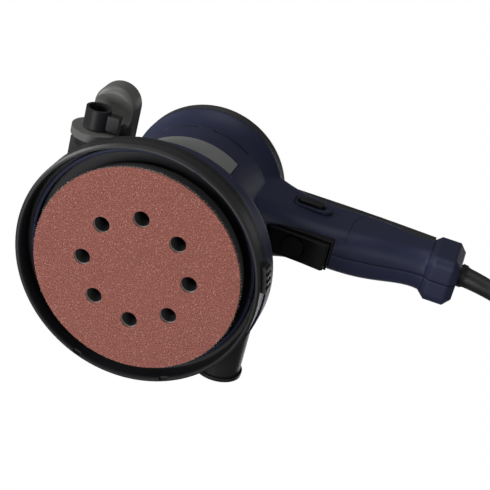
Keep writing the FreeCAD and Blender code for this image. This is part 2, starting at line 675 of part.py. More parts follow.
volute_outer = cylinder("volute_outer", drum_radius - 0.4, S.volute_high - S.volute_low,
                        (S.volute_shift, S.volute_shift, up(S.volute_low)))
volute_inner = cylinder("volute_inner", drum_radius - 0.4 - S.housing_wall,
                        S.volute_high - S.volute_low - 2 * S.housing_wall,
                        (S.volute_shift, S.volute_shift, up(S.volute_low) + S.housing_wall))

STATIONS = ("root", "neck", "front", "grip", "palm", "heel")


def station(name):
    """A handle station: its place, half width and two heights."""
    return (back(getattr(S, name + "_back")), getattr(S, name + "_half"),
            up(getattr(S, name + "_low")), up(getattr(S, name + "_top")))


def handle_sections(inset, lift=0.0):
    """The handle's outlines, moved inwards by a wall and lifted at the top."""
    sections = []
    for name in STATIONS:
        x, half, low, high = station(name)
        high = high - S.cover_thickness + lift
        sections.append((x, rounded(half - inset, low + inset, high - inset,
                                    S.handle_corner - inset)))
    return sections


heel_x, heel_half, heel_low, heel_top = station("heel")
tail_end = heel_x + S.tail_length


def tail_sections(inset):
    """The flared tail behind the grip: ramp, block and bevelled end face."""
    half, low, high = heel_half - inset, heel_low + inset, heel_top - inset
    grown = half + S.tail_widen
    grown_low, grown_high = low - S.tail_drop, high
    corner = S.tail_corner - inset / 2
    block_end = tail_end - S.tail_nose - inset
    return [
        (heel_x - 2, rounded(half - 1, low + 1, high - S.cover_thickness - 1,
                             S.handle_corner - inset - 1)),
        (heel_x + S.tail_ramp, rounded(grown, grown_low, grown_high, corner)),
        (block_end, rounded(grown, grown_low, grown_high, corner)),
        (tail_end - inset, rounded(grown - S.tail_nose, grown_low + S.tail_nose,
                                   grown_high - S.tail_nose, corner / 2))]


handle_outer = lofted("handle_outer", "YZ_Plane", handle_sections(Size.of(0)))
handle_inner = lofted("handle_inner", "YZ_Plane", handle_sections(S.housing_wall))
tail_outer = lofted("tail_outer", "YZ_Plane", tail_sections(Size.of(0)), ruled=True)
tail_inner = lofted("tail_inner", "YZ_Plane", tail_sections(S.housing_wall), ruled=True)
outer_form = fuse("outer_form", housing_outer, volute_outer, handle_outer, tail_outer)
inner_form = fuse("inner_form", housing_inner, volute_inner, handle_inner, tail_inner)

port_cylinder = cylinder("port_cylinder", S.port_radius, port_end - S.port_start,
                         (S.port_x, S.port_start, port_height), "y")
cord_z = up(S.cord_height)
trigger_x = back(S.trigger_front)
trigger_slot = box(
    "trigger_slot", S.trigger_length + 2 * S.trigger_clearance,
    2 * (S.trigger_half + S.trigger_clearance), 24,
    (trigger_x - S.trigger_clearance, -(S.trigger_half + S.trigger_clearance),
     up(S.trigger_low) - 4))


def oval(label, length, width, x, y_low, y_high, z):
    """A bar along Y with an oval section, long in X."""
    half = length / 2
    end = width / 2
    return extruded(label, "XZ_Plane", oval_corners(x, z, half, end), -Size.of(y_high),
                    -Size.of(y_low))


def oval_corners(x, z, half, end):
    """An oval's outline: two straights and four quarter arcs."""
    return [(x - half + end, z - end), (x + half - end, z - end, end), (x + half, z, end),
            (x + half - end, z + end), (x - half + end, z + end, end), (x - half, z, end)]


button_x = back(S.button_back)
button_z = up(S.button_height)
side_y = -(S.front_half - 0.5)
lock_hole = oval("lock_hole", S.button_length + 2 * S.button_gap, S.button_width + 2 * S.button_gap,
                 button_x, side_y - 8, side_y + 6, button_z)
cord_hole = cylinder("cord_hole", S.guard_radius, S.end_wall + 12,
                     (tail_end - S.end_wall - 6, 0, cord_z), "x")
slot_cuts = []
for side, first in (("left", -88.0), ("left_front", -132.0), ("right", 55.0), ("right_front", 99.0)):
    slot_cuts.append(sector("vent_slot_" + side, S.motor_radius + 2, motor_inner - 2,
                            S.slot_height, up(S.slot_low), first, S.slot_sweep))
badge_recess = sector("badge_recess", S.motor_radius + 2, S.motor_radius - S.badge_depth,
                      S.badge_height + 2 * S.badge_gap, up(S.badge_low) - S.badge_gap, -132, 76)
rating_recess = sector("rating_recess", S.motor_radius + 2, S.motor_radius - S.badge_depth,
                       S.badge_height + 2 * S.badge_gap, up(S.badge_low) - S.badge_gap, 70, 52)

# Bosses for the housing screws, in the handle and beside the motor
SCREW_PLACES = (("tail", back(114.0), up(106.0)), ("heel", back(94.0), up(125.5)),
                ("grip", back(54.0), up(94.0)), ("neck", back(8.0), up(123.0)),
                ("front_low", -(motor_inner - 2.5), up(40.0)), ("front_top", -(motor_inner - 5), up(100.0)))
bosses = []
screw_holes = []
screws = []
for name, x, z in SCREW_PLACES:
    bosses.append(cylinder("boss_" + name, S.boss_radius, 60, (x, -30, z), "y"))
    screw_holes.append(cylinder("screw_hole_" + name, S.housing_screw_radius + 0.05, 24,
                                (x, -10, z), "y"))
    screw_holes.append(cylinder("screw_sink_" + name, S.housing_screw_head + 0.1, 60,
                                (x, 10 - S.housing_screw_sink, z), "y"))
    screws.append(fuse("screw_" + name,
                       cylinder("screw_shank_" + name, S.housing_screw_radius, 16,
                                (x, -8.4, z), "y"),
                       cylinder("screw_head_" + name, S.housing_screw_head, S.housing_screw_sink,
                                (x, 10 - S.housing_screw_sink, z), "y")))
node("housing_screws", group("housing_screws", *screws))

ribs = [box("stator_rib_%d" % index, motor_inner + 1 - stator_radius, 2.4, S.core_height - 4,
            (0, 0, 0)) for index in range(6)]
for index, rib in enumerate(ribs):
    turn = 30.0 + 60.0 * index
    angle = math.radians(turn)
    place(rib, (stator_radius * math.cos(angle), stator_radius * math.sin(angle), core_low + 2),
          FreeCAD.Rotation(FreeCAD.Vector(0, 0, 1), turn))

hollow = cut("hollow", inner_form, *bosses)
shell = fuse("shell", cut("shell_walls", outer_form, hollow), lip, *ribs)
housing = cut("housing", shell, trigger_slot, lock_hole, cord_hole, port_cylinder, badge_recess,
              rating_recess, *slot_cuts, *screw_holes)
half_size = 400
left_space = box("left_space", half_size, half_size, half_size, (-200, -half_size, -20))
right_space = box("right_space", half_size, half_size, half_size, (-200, 0, -20))
node("housing_left", common("housing_left", housing, left_space))
node("housing_right", common("housing_right", housing, right_space))
node("badge_plate", sector("badge_plate", S.motor_radius, S.motor_radius - S.badge_depth,
                           S.badge_height, up(S.badge_low), -131.2, 74.4))
node("rating_plate", sector("rating_plate", S.motor_radius, S.motor_radius - S.badge_depth,
                            S.badge_height, up(S.badge_low), 70.8, 50.4))
node("dust_port", cut(
    "dust_port",
    fuse("port_body", port_cylinder,
         cut("port_bead",
             tube("port_bead_ring", S.port_radius + S.port_flange, S.port_radius - 1, 2.4,
                  (S.port_x, port_end - 2.4, port_height), "y"), outer_form)),
    cylinder("port_mouth", S.port_bore, S.port_seat + 3,
             (S.port_x, port_end - S.port_seat, port_height), "y"),
    cylinder("port_duct", S.port_bore + S.duct_step, port_end - S.port_seat - S.port_start - 2,
             (S.port_x, S.port_start + 2, port_height), "y"),
    inner_form))

# Soft cover over the motor cap and along the top of the handle
cover_outer = revolved("cover_dome", [
    (0, up(S.flare_height)), (flare_radius - 0.2, up(S.flare_height) + S.rim_width),
    (flare_radius - 0.2, up(S.dome_shoulder), S.cover_bend),
    (flare_radius - 0.2 - S.cover_bend, up(S.dome_height) + S.cover_rise),
    (0, up(S.dome_height) + S.cover_rise)])
strip_sections = []
for name in STATIONS:
    x, half, low, high = station(name)
    strip_sections.append((x, rounded(S.cover_half, high - S.cover_skirt, high, 4)))
strip = lofted("cover_strip", "YZ_Plane", strip_sections)
cover_ribs = []
for index in range(3):
    cover_ribs.append(cylinder("cover_rib_%d" % index, S.rib_width, 2 * (S.cover_half - 2),
                               (back(40.0) + S.rib_pitch * index, -(S.cover_half - 2),
                                up(S.grip_top) - S.rib_width + S.rib_rise), "y"))
node("soft_cover", cut("soft_cover", fuse("cover_form", cover_outer, strip, *cover_ribs), outer_form))

# Trigger, its bezel, the speed dial and the lock button
trigger_low = up(S.trigger_low)
trigger_top = trigger_low + S.trigger_height
dial_x = trigger_x + S.dial_back
front_block = [(trigger_x, trigger_low + 3), (trigger_x + 3, trigger_low + 1.2),
               (dial_x - S.dial_radius - 1, trigger_low + 1.2), (dial_x + S.dial_radius + 1, trigger_low),
               (trigger_x + S.trigger_length - 1.5, trigger_low - 1.6),
               (trigger_x + S.trigger_length, trigger_low), (trigger_x + S.trigger_length, trigger_top),
               (trigger_x, trigger_top)]
trigger_body = extruded("trigger_body", "XZ_Plane", front_block, -S.trigger_half, S.trigger_half)
spring_x = trigger_x + 8
switch_low = trigger_top + S.trigger_travel + 1.2
spring_low = switch_low - S.spring_length
node("trigger", cut(
    "trigger",
    fuse("trigger_parts", trigger_body,
         cylinder("trigger_plunger", 2, 5, (trigger_x + 33, 0, trigger_top - 0.5))),
    cylinder("trigger_dial_pocket", S.dial_radius + S.dial_clearance, 20,
             (dial_x, 0, trigger_low + S.dial_height - S.dial_drop + 0.3 - 20)),
    cylinder("trigger_spring_pocket", S.spring_radius + 0.4, 10, (spring_x, 0, spring_low))))
dial_teeth = []
for index in range(18):
    angle = math.radians(20.0 * index)
    dial_teeth.append(cylinder("dial_tooth_%d" % index, 0.7, S.dial_height + 2,
                               (dial_x + S.dial_radius * math.cos(angle),
                                S.dial_radius * math.sin(angle), trigger_low - S.dial_drop - 1)))
node("speed_dial", cut("speed_dial",
                       cylinder("dial_body", S.dial_radius, S.dial_height,
                                (dial_x, 0, trigger_low - S.dial_drop)), *dial_teeth))
node("trigger_spring", tube("trigger_spring", S.spring_radius, S.spring_radius - 0.7,
                            S.spring_length, (spring_x, 0, spring_low)))
bezel_half = S.trigger_half + S.trigger_clearance + S.bezel_width
node("trigger_bezel", cut(
    "trigger_bezel",
    box("bezel_block", S.trigger_length + 2 * S.trigger_clearance + 2 * S.bezel_width,
        2 * bezel_half, S.bezel_height + 8,
        (trigger_x - S.trigger_clearance - S.bezel_width, -bezel_half,
         up(S.trigger_low) + 4.4)),
    outer_form, trigger_slot))
button_inner = side_y + 5.5
node("lock_button", fuse(
    "lock_button",
    oval("button_cap", S.button_length, S.button_width, button_x, side_y - S.button_out,
         button_inner, button_z),
    oval("button_flange", S.button_length + 3.2, S.button_width + 3.2, button_x,
         side_y + 3.4, button_inner, button_z),
    cylinder("button_stem", 1.6, 3, (button_x, button_inner - 1, button_z), "y")))
node("lock_bezel", cut(
    "lock_bezel",
    oval("bezel_oval", S.button_length + 2 * S.button_rim_end, S.button_width + 2 * S.button_rim,
         button_x, side_y - S.button_rim_rise, side_y + 4, button_z),
    outer_form, lock_hole))

# Switch, electronics and cord clamp inside the handle
switch_x = trigger_x + 2
node("switch_module", cut(
    "switch_module",
    box("switch_block", S.switch_length + 4, 2 * S.switch_half, S.switch_height,
        (switch_x, -S.switch_half, switch_low)),
    cylinder("switch_port", 2.6, 8, (trigger_x + 33, 0, switch_low - 1))))
lock_stop_y = button_inner + S.button_travel + 2.0
node("lock_spring", tube("lock_spring", 3.2, 2.4, S.button_travel + 2.0,
                         (button_x, button_inner, button_z), "y"))
node("lock_latch", box("lock_latch", 10, 4, 5.0, (button_x - 5, lock_stop_y, button_z - 2.5)))
board_x = back(62.0)
node("speed_board", box("speed_board", S.board_length, S.board_thickness, S.board_height,
                        (board_x, -(S.board_thickness / 2), up(101.0))))
node("capacitor", box("capacitor", S.capacitor_length, S.capacitor_width, S.capacitor_height,
                      (board_x + 6, S.board_thickness / 2, up(103.0))))
clamp_x = heel_x + 2
node("cord_clamp", group(
    "cord_clamp",
    *[box("cord_clamp_%s" % side, S.clamp_length, 20, S.clamp_thickness,
          (clamp_x, -10, cord_z - S.cord_radius - S.clamp_thickness if side == "low"
           else cord_z + S.cord_radius)) for side in ("low", "high")]))

# Cord guard: a flanged sleeve that droops along an arc
guard_start = tail_end - S.end_wall
dip = math.radians(S.guard_dip.number)
bend = S.guard_bend.number
guard_from = FreeCAD.Vector(guard_start.number, 0, cord_z.number)


def guard_point(distance):
    """The guard's centre line: level as far as the end face, then an arc that steepens."""
    straight = S.end_wall.number
    if distance <= straight:
        return guard_from + FreeCAD.Vector(distance, 0, 0), 0.0
    turned = (distance - straight) / bend + dip
    centre = guard_from + FreeCAD.Vector(straight, 0, 0) - FreeCAD.Vector(
        math.sin(dip), 0, math.cos(dip)) * bend
    return centre + FreeCAD.Vector(math.sin(turned), 0, math.cos(turned)) * bend, turned


guard_total = S.guard_length.number + S.end_wall.number
guard_sections = []
steps = 8
for index in range(steps + 1):
    distance = S.end_wall.number + S.guard_length.number * index / steps
    point, turned = guard_point(distance)
    share = index / steps
    radius = S.guard_radius.number * (1 - share) + S.guard_tip_radius.number * share
    across = FreeCAD.Vector(math.cos(turned), 0, -math.sin(turned))
    if index == 0:
        point, across = guard_from + FreeCAD.Vector(S.end_wall.number, 0, 0), FreeCAD.Vector(1, 0, 0)
    guard_sections.append(Part.Wire(Part.makeCircle(radius, point, across)))
guard_shape = Part.makeLoft(guard_sections, True)
guard_sleeve = Part.makeCylinder(S.guard_radius.number, S.end_wall.number, guard_from,
                                 FreeCAD.Vector(1, 0, 0))
guard_collar = Part.makeCylinder(S.guard_flange.number, 2.5, guard_from - FreeCAD.Vector(2.5, 0, 0),
                                 FreeCAD.Vector(1, 0, 0))
guard = document.addObject("Part::Feature", "cord_guard")
guard.Shape = guard_shape.fuse([guard_sleeve, guard_collar]).removeSplitter()
guard.Placement = FreeCAD.Placement()
node("cord_guard", guard)
guard_tip, guard_turn = guard_point(guard_total)

# Free cord: its route from the guard's tip down to the coil on the floor
CORD_ROUTE = (
    (217.4, 0.0, 114.3),
    (236.0, -1.0, 96.5),
    (249.0, -4.0, 72.0),
    (257.0, -10.0, 46.5),
    (265.5, -19.0, 21.5),
    (282.0, -30.0, 6.4),
    (306.0, -38.0, 3.5),
)


def cord_tube(label, points, radius):
    """A round tube along straight runs joined by tangent arcs."""
    share = 0.45
    edges = []
    radii = []
    last = points[0]
    for index in range(1, len(points) - 1):
        before, corner, after = points[index - 1], points[index], points[index + 1]
        into = (corner - before).normalize()
        out = (after - corner).normalize()
        turn = math.acos(max(-1.0, min(1.0, into.dot(out))))
        reach = share * min((corner - before).Length, (after - corner).Length)
        radii.append(reach / math.tan(turn / 2))
        enter, leave = corner - into * reach, corner + out * reach
        edges.append(Part.LineSegment(last, enter).toShape())
        inward = (out - into).normalize()
        middle = corner + inward * (radii[-1] / math.cos(turn / 2) - radii[-1])
        edges.append(Part.Arc(enter, middle, leave).toShape())
        last = leave
    edges.append(Part.LineSegment(last, points[-1]).toShape())
    path = Part.Wire(edges)
    start = Part.Wire(Part.makeCircle(radius, points[0], points[1] - points[0]))
    pipe = path.makePipeShell([start], True, True)
    wanted = math.pi * radius ** 2 * path.Length
    print("%s: length %.1f mm, radii %s, volume ratio %.4f" % (
        label, path.Length, ", ".join("%.0f" % item for item in radii), pipe.Volume / wanted))
    item = document.addObject("Part::Feature", label)
    item.Shape = pipe
    item.Placement = FreeCAD.Placement()
    return item


print("guard tip: %.1f %.1f %.1f" % tuple(guard_tip))
route = [FreeCAD.Vector(*point) for point in CORD_ROUTE]
node("power_cord", cord_tube("power_cord", route, S.cord_radius.number))
node("cord_coil", revolved("coil_body", [
    (S.coil_inner, 0), (S.coil_outer, 0), (S.coil_outer, S.coil_height - 5),
    (S.coil_outer - 5, S.coil_height), (S.coil_inner + 5, S.coil_height),
    (S.coil_inner, S.coil_height - 5)]))
nodes[-1].Placement.Base = FreeCAD.Vector(S.coil_x.number, S.coil_y.number, 0)
TAIL_ROUTE = (
    (352.0, 8.0, 14.5),
    (352.8, 27.0, 8.6),
    (362.4, 45.5, 4.4),
    (379.0, 57.0, 5.0),
    (397.0, 60.0, 8.0),
)
tail_points = [FreeCAD.Vector(*point) for point in TAIL_ROUTE]
node("cord_tail", cord_tube("cord_tail", tail_points, S.cord_radius.number))
plug_way = tail_points[-1] - tail_points[-2]
plug_turn = math.degrees(math.atan2(plug_way.y, plug_way.x))
plug_half = S.plug_height / 2
plug_form = lofted("plug_form", "YZ_Plane", [
    (Size.of(0), rounded(S.cord_radius + 2.5, plug_half - 6, plug_half + 6, Size.of(5.0))),
    (S.plug_length * 0.45, rounded(S.plug_width / 2, Size.of(0), S.plug_height, Size.of(6.0))),
    (S.plug_length, rounded(S.plug_width / 2, Size.of(0), S.plug_height, Size.of(6.0)))])
plug_at = FreeCAD.Placement(tail_points[-1] - FreeCAD.Vector(0, 0, tail_points[-1].z),
                            FreeCAD.Rotation(FreeCAD.Vector(0, 0, 1), plug_turn))
plug_form.Placement = plug_at
node("mains_plug", plug_form)
pins = []
for side in (-1, 1):
    pin = document.addObject("Part::Feature", "plug_pin")
    pin.Shape = Part.makeCylinder(S.pin_radius.number, S.pin_length.number,
                                  FreeCAD.Vector(S.plug_length.number,
                                                 side * S.pin_spacing.number / 2,
                                                 plug_half.number), FreeCAD.Vector(1, 0, 0))
    pin.Placement = plug_at
    pins.append(pin)
node("plug_pins", group("plug_pins", *pins))

# Side handle: bracket on the bell, clamp bolt, hub with paddle, and knob
CLAMP_BEARING = 45.0
clamp_z = up(S.clamp_height)
clamp_on_drum = drum_radius * math.cos(math.radians(CLAMP_BEARING))
clamp_x = -(clamp_on_drum + S.clamp_step)
bracket_y = -(clamp_on_drum + S.bracket_step)
node("handle_bracket", cut(
    "handle_bracket",
    fuse("bracket_block",
         box("bracket_body", 2 * S.bracket_half, S.bracket_depth, 2 * S.bracket_half,
             (clamp_x - S.bracket_half, bracket_y, clamp_z - S.bracket_half)),
         cylinder("bracket_pad", S.hub_radius - 1, 4, (clamp_x, bracket_y, clamp_z), "y")),
    outer_form,
    cylinder("bracket_bore", S.bolt_radius, S.bracket_depth, (clamp_x, bracket_y - 1, clamp_z), "y"),
    cylinder("bracket_head_room", S.bolt_radius + 3, S.bracket_depth,
             (clamp_x, bracket_y + 6, clamp_z), "y")))
node("clamp_bolt", fuse(
    "clamp_bolt",
    cylinder("clamp_bolt_shank", S.bolt_radius, 21, (clamp_x, bracket_y - 13, clamp_z), "y"),
    cylinder("clamp_bolt_head", S.bolt_radius + 2.6, 2.2, (clamp_x, bracket_y + 6.1, clamp_z), "y")))
hub_y = bracket_y - S.hub_width - 0.3
paddle_low = clamp_z + S.paddle_rise - S.paddle_thickness / 2
paddle_x = clamp_x + S.paddle_x
paddle_body = new_body("paddle_body")
paddle_sketch = new_sketch(paddle_body, "XY_Plane", paddle_low)
outline(paddle_sketch, [
    (paddle_x - S.paddle_half, -(S.paddle_outer - S.paddle_half), S.paddle_half),
    (paddle_x, -S.paddle_outer, S.paddle_half),
    (paddle_x + S.paddle_half, -(S.paddle_outer - S.paddle_half)),
    (paddle_x + S.paddle_half, -S.paddle_inner), (paddle_x - S.paddle_half, -S.paddle_inner)])
paddle_pad = paddle_body.newObject("PartDesign::Pad", "paddle_pad")
paddle_pad.Profile = paddle_sketch
bind(paddle_pad, "Length", S.paddle_thickness)
document.recompute()
round_edge = paddle_body.newObject("PartDesign::Fillet", "paddle_round")
round_edge.Base = (paddle_pad, ["Face%d" % (index + 1) for index, face in
                                enumerate(paddle_pad.Shape.Faces)
                                if abs(face.normalAt(0, 0).z) > 0.9])
bind(round_edge, "Radius", S.paddle_bend)
paddle_body.Tip = round_edge
node("side_handle", cut(
    "side_handle",
    fuse("side_handle_body",
         cut("paddle_dished", paddle_body,
             cylinder("side_dish", 26, S.paddle_half * 2 + 4,
                      (paddle_x - S.paddle_half - 2, -64, paddle_low - 24.4), "x")),
         cylinder("side_hub", S.hub_radius, S.hub_width, (clamp_x, hub_y, clamp_z), "y"),
         box("side_arm", 18, S.hub_width, S.paddle_rise - 4,
             (clamp_x - 7, hub_y, clamp_z + 2))),
    cylinder("side_bore", S.bolt_radius + 0.1, 20, (clamp_x, hub_y - 5, clamp_z), "y")))
knob_y = hub_y - 0.3 - S.knob_width
node("clamp_knob", cut(
    "clamp_knob",
    fuse("clamp_knob_body",
         cylinder("knob_hub", S.knob_radius, S.knob_width, (clamp_x, knob_y, clamp_z), "y"),
         box("knob_wing", S.wing_reach, S.wing_width, S.wing_thickness,
             (clamp_x - S.wing_back, knob_y + S.knob_width - S.wing_width - 0.8,
              clamp_z - S.wing_thickness / 2))),
    cylinder("knob_bore", S.bolt_radius + 0.06, 40, (clamp_x, knob_y - 1, clamp_z), "y"),
    cylinder("knob_mouth", S.knob_bore, S.knob_bore_depth + 1, (clamp_x, knob_y - 1, clamp_z), "y")))

document.recompute()
faulty = [item.Label for item in document.Objects if set(item.State) & {"Invalid", "Error"}]
if faulty:
    raise SystemExit("not made: " + ", ".join(faulty))
os.makedirs("parts", exist_ok=True)
for item in nodes:
    if item.Shape.isNull() or not item.Shape.isValid() or not item.Shape.Solids:
        raise SystemExit("%s has no valid solid" % item.Label)
for item in nodes:
    item.Shape.exportStep("parts/%s.step" % item.Label)
print("%d nodes" % len(nodes))
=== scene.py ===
"""Orbital sander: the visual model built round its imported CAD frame."""

import json
import logging
import math
import random
from dataclasses import dataclass, field
from enum import Enum
from typing import Any, ClassVar, Iterable, Sequence

import bmesh
import bpy
from mathutils import Matrix, Quaternion, Vector

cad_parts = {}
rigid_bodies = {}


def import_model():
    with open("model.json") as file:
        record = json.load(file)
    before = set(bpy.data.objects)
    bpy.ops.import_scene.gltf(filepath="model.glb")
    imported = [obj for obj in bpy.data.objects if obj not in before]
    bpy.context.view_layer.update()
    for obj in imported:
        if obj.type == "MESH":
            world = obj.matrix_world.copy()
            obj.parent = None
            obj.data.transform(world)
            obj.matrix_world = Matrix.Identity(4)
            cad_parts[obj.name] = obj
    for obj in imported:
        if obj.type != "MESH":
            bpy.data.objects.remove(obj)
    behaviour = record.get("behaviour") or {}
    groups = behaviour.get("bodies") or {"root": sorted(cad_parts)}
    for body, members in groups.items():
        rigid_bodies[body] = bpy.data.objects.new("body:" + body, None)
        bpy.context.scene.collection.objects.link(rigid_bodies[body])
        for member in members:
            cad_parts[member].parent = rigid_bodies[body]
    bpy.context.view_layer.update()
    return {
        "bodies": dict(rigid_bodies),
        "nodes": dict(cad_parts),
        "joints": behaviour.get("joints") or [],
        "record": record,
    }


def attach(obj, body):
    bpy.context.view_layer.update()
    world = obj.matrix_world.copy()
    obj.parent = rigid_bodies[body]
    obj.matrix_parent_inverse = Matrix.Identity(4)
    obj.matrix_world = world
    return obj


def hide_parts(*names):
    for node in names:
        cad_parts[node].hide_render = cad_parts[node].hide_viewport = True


LOG = logging.getLogger("sander")
MM = 0.001
UP = Vector((0, 0, 1))
ROUND = 2.0
Colour = tuple[float, float, float]


def linear(red: float, green: float, blue: float) -> Colour:
    """Turns display values from 0 to 255 into linear light.

    Args:
        red: the red display value.
        green: the green display value.
        blue: the blue display value.

    Returns:
        The colour in linear light, from 0 to 1.
    """
    def channel(value: float) -> float:
        """Turns one display value into linear light."""
        share = value / 255.0
        return share / 12.92 if share <= 0.04045 else ((share + 0.055) / 1.055) ** 2.4
    return channel(red), channel(green), channel(blue)


def shade(colour: Colour, share: float, lift: float = 0.0) -> Colour:
    """Gives a darker or lighter colour: each part times a share, plus a lift, up to 1."""
    return tuple(min(1.0, part * share + lift) for part in colour)


# ---------------------------------------------------------------- shader kit


@dataclass(frozen=True)
class Noise:
    """A noise pattern: its cells a metre, its octaves, and how strong the fine ones are.

    The stretch scales the three axes, for a drawn-out grain.
    """

    scale: float
    detail: float = 3.0
    roughness: float = 0.55
    stretch: Vector | None = None


@dataclass(frozen=True)
class Socket:
    """An output socket with arithmetic: each operator adds one Math node."""

    shader: "Shader"
    link: bpy.types.NodeSocket

    def _maths(self, operation: str, *values: Any) -> "Socket":
        """Adds a Math node.

        Args:
            operation: the node's operation.
            values: its inputs in order, sockets or numbers.

        Returns:
            The node's result.
        """
        return self.shader.node("ShaderNodeMath", {"operation": operation}, dict(enumerate(values)))

    def __add__(self, other: Any) -> "Socket":
        """Adds."""
        return self._maths("ADD", self, other)

    def __radd__(self, other: Any) -> "Socket":
        """Adds, with the number first."""
        return self._maths("ADD", other, self)

    def __sub__(self, other: Any) -> "Socket":
        """Takes away."""
        return self._maths("SUBTRACT", self, other)

    def __rsub__(self, other: Any) -> "Socket":
        """Takes away from a number."""
        return self._maths("SUBTRACT", other, self)

    def __mul__(self, other: Any) -> "Socket":
        """Multiplies."""
        return self._maths("MULTIPLY", self, other)

    def __rmul__(self, other: Any) -> "Socket":
        """Multiplies, with the number first."""
        return self._maths("MULTIPLY", other, self)

    def __pow__(self, other: Any) -> "Socket":
        """Raises to a power."""
        return self._maths("POWER", self, other)

    def size(self) -> "Socket":
        """Gives the distance from zero."""
        return self._maths("ABSOLUTE", self)

    def wave(self) -> "Socket":
        """Gives the sine."""
        return self._maths("SINE", self)

    def over(self, limit: float) -> "Socket":
        """Gives 1 where this is more than the limit, and 0 elsewhere."""
        return self._maths("GREATER_THAN", self, limit)

    def under(self, limit: float) -> "Socket":
        """Gives 1 where this is less than the limit, and 0 elsewhere."""
        return self._maths("LESS_THAN", self, limit)

    def most(self, other: Any) -> "Socket":
        """Gives the larger of the two."""
        return self._maths("MAXIMUM", self, other)

    def ramp(self, low: float, high: float, start: float = 0.0, end: float = 1.0) -> "Socket":
        """Maps a span of this value onto another span, held at its ends.

        Args:
            low: where the span starts.
            high: where the span ends.
            start: the result at low.
            end: the result at high.

        Returns:
            The mapped value.
        """
        return self.shader.node("ShaderNodeMapRange", {"clamp": True},
                                {"Value": self, "From Min": low, "From Max": high,
                                 "To Min": start, "To Max": end})


class Shader:
    """A material's nodes round one Principled shader."""

    def __init__(self, name: str) -> None:
        """Starts an empty material.

        Args:
            name: the material's name.
        """
        self.material = bpy.data.materials.new(name)
        self.material.use_nodes = True
        self.tree = self.material.node_tree
        self.tree.nodes.clear()
        self.surface = self.tree.nodes.new("ShaderNodeBsdfPrincipled")
        self.output = self.tree.nodes.new("ShaderNodeOutputMaterial")
        self.tree.links.new(self.surface.outputs[0], self.output.inputs["Surface"])
        self._place: Socket | None = None

    def fill(self, target: bpy.types.NodeSocket, value: Any) -> None:
        """Links or sets one input.

        Args:
            target: the input socket.
            value: a Socket, a number, a vector or a colour.
        """
        if isinstance(value, Socket):
            self.tree.links.new(value.link, target)
        elif isinstance(value, (tuple, list, Vector)) and target.type == "RGBA":
            target.default_value = (*value, 1.0)[:4]
        else:
            target.default_value = value

    def node(self, kind: str, settings: dict[str, Any], inputs: dict[Any, Any],
             result: Any = 0) -> Socket:
        """Adds a node of any kind.

        Args:
            kind: the node's type.
            settings: its own settings, set before its inputs.
            inputs: the values or links of its sockets, by name or number.
            result: the name or number of the output wanted.

        Returns:
            That output.
        """
        made = self.tree.nodes.new(kind)
        for setting, value in settings.items():
            setattr(made, setting, value)
        for key, value in inputs.items():
            self.fill(made.inputs[key], value)
        return Socket(self, made.outputs[result])

    def place(self) -> Socket:
        """Gives the object coordinates.

        Returns:
            The coordinates, in metres.
        """
        if self._place is None:
            self._place = self.node("ShaderNodeTexCoord", {}, {}, "Object")
        return self._place

    def axes(self) -> tuple[Socket, Socket, Socket]:
        """Gives the three object coordinates as numbers."""
        first = self.node("ShaderNodeSeparateXYZ", {}, {0: self.place()})
        return tuple(Socket(self, output) for output in first.link.node.outputs)

    def noise(self, pattern: "Noise") -> Socket:
        """Adds a noise pattern.

        Args:
            pattern: the pattern's scale and character.

        Returns:
            The pattern, from 0 to 1.
        """
        place = self.place()
        if pattern.stretch is not None:
            place = self.node("ShaderNodeMapping", {}, {"Vector": place, "Scale": pattern.stretch})
        return self.node("ShaderNodeTexNoise", {},
                         {"Vector": place, "Scale": pattern.scale, "Detail": pattern.detail,
                          "Roughness": pattern.roughness})

    def cells(self, scale: float, feature: str = "F1") -> Socket:
        """Adds a cell pattern and gives its distances."""
        return self.node("ShaderNodeTexVoronoi", {"feature": feature},
                         {"Vector": self.place(), "Scale": scale}, "Distance")

    def mix(self, share: Any, first: Any, second: Any) -> Socket:
        """Mixes two colours by a share from 0 to 1."""
        return self.node("ShaderNodeMix", {"data_type": "RGBA"}, {0: share, 6: first, 7: second}, 2)

    def relief(self, height: Socket, depth: float, strength: float = 1.0,
               **more: Socket) -> Socket:
        """Turns a height into a surface normal.

        Args:
            height: the height pattern, from 0 to 1.
            depth: how deep a step of 1 is, in metres.
            strength: the bump's strength.
            more: further inputs, such as the normal that it starts from.

        Returns:
            The bumped normal.
        """
        return self.node("ShaderNodeBump", {}, {"Height": height, "Distance": depth,
                                                "Strength": strength, **more})

    def finish(self, **inputs: Any) -> bpy.types.Material:
        """Fills the Principled shader's sockets, named with underscores for spaces.

        Args:
            inputs: the sockets' values or links.

        Returns:
            The finished material.
        """
        for key, value in inputs.items():
            self.fill(self.surface.inputs[key.replace("_", " ")], value)
        return self.material


# ---------------------------------------------------------------- finishes


@dataclass(frozen=True)
class Finish:
    """A surface finish. Each kind builds its material once."""

    name: str
    colour: Colour
    made: ClassVar[dict[str, bpy.types.Material]] = {}

    def build(self) -> bpy.types.Material:
        """Builds the material's nodes.

        Returns:
            The material.
        """
        raise NotImplementedError

    def material(self) -> bpy.types.Material:
        """Gives the finish's material.

        Returns:
            The material, built on its first use.
        """
        if self.name not in self.made:
            self.made[self.name] = self.build()
        return self.made[self.name]


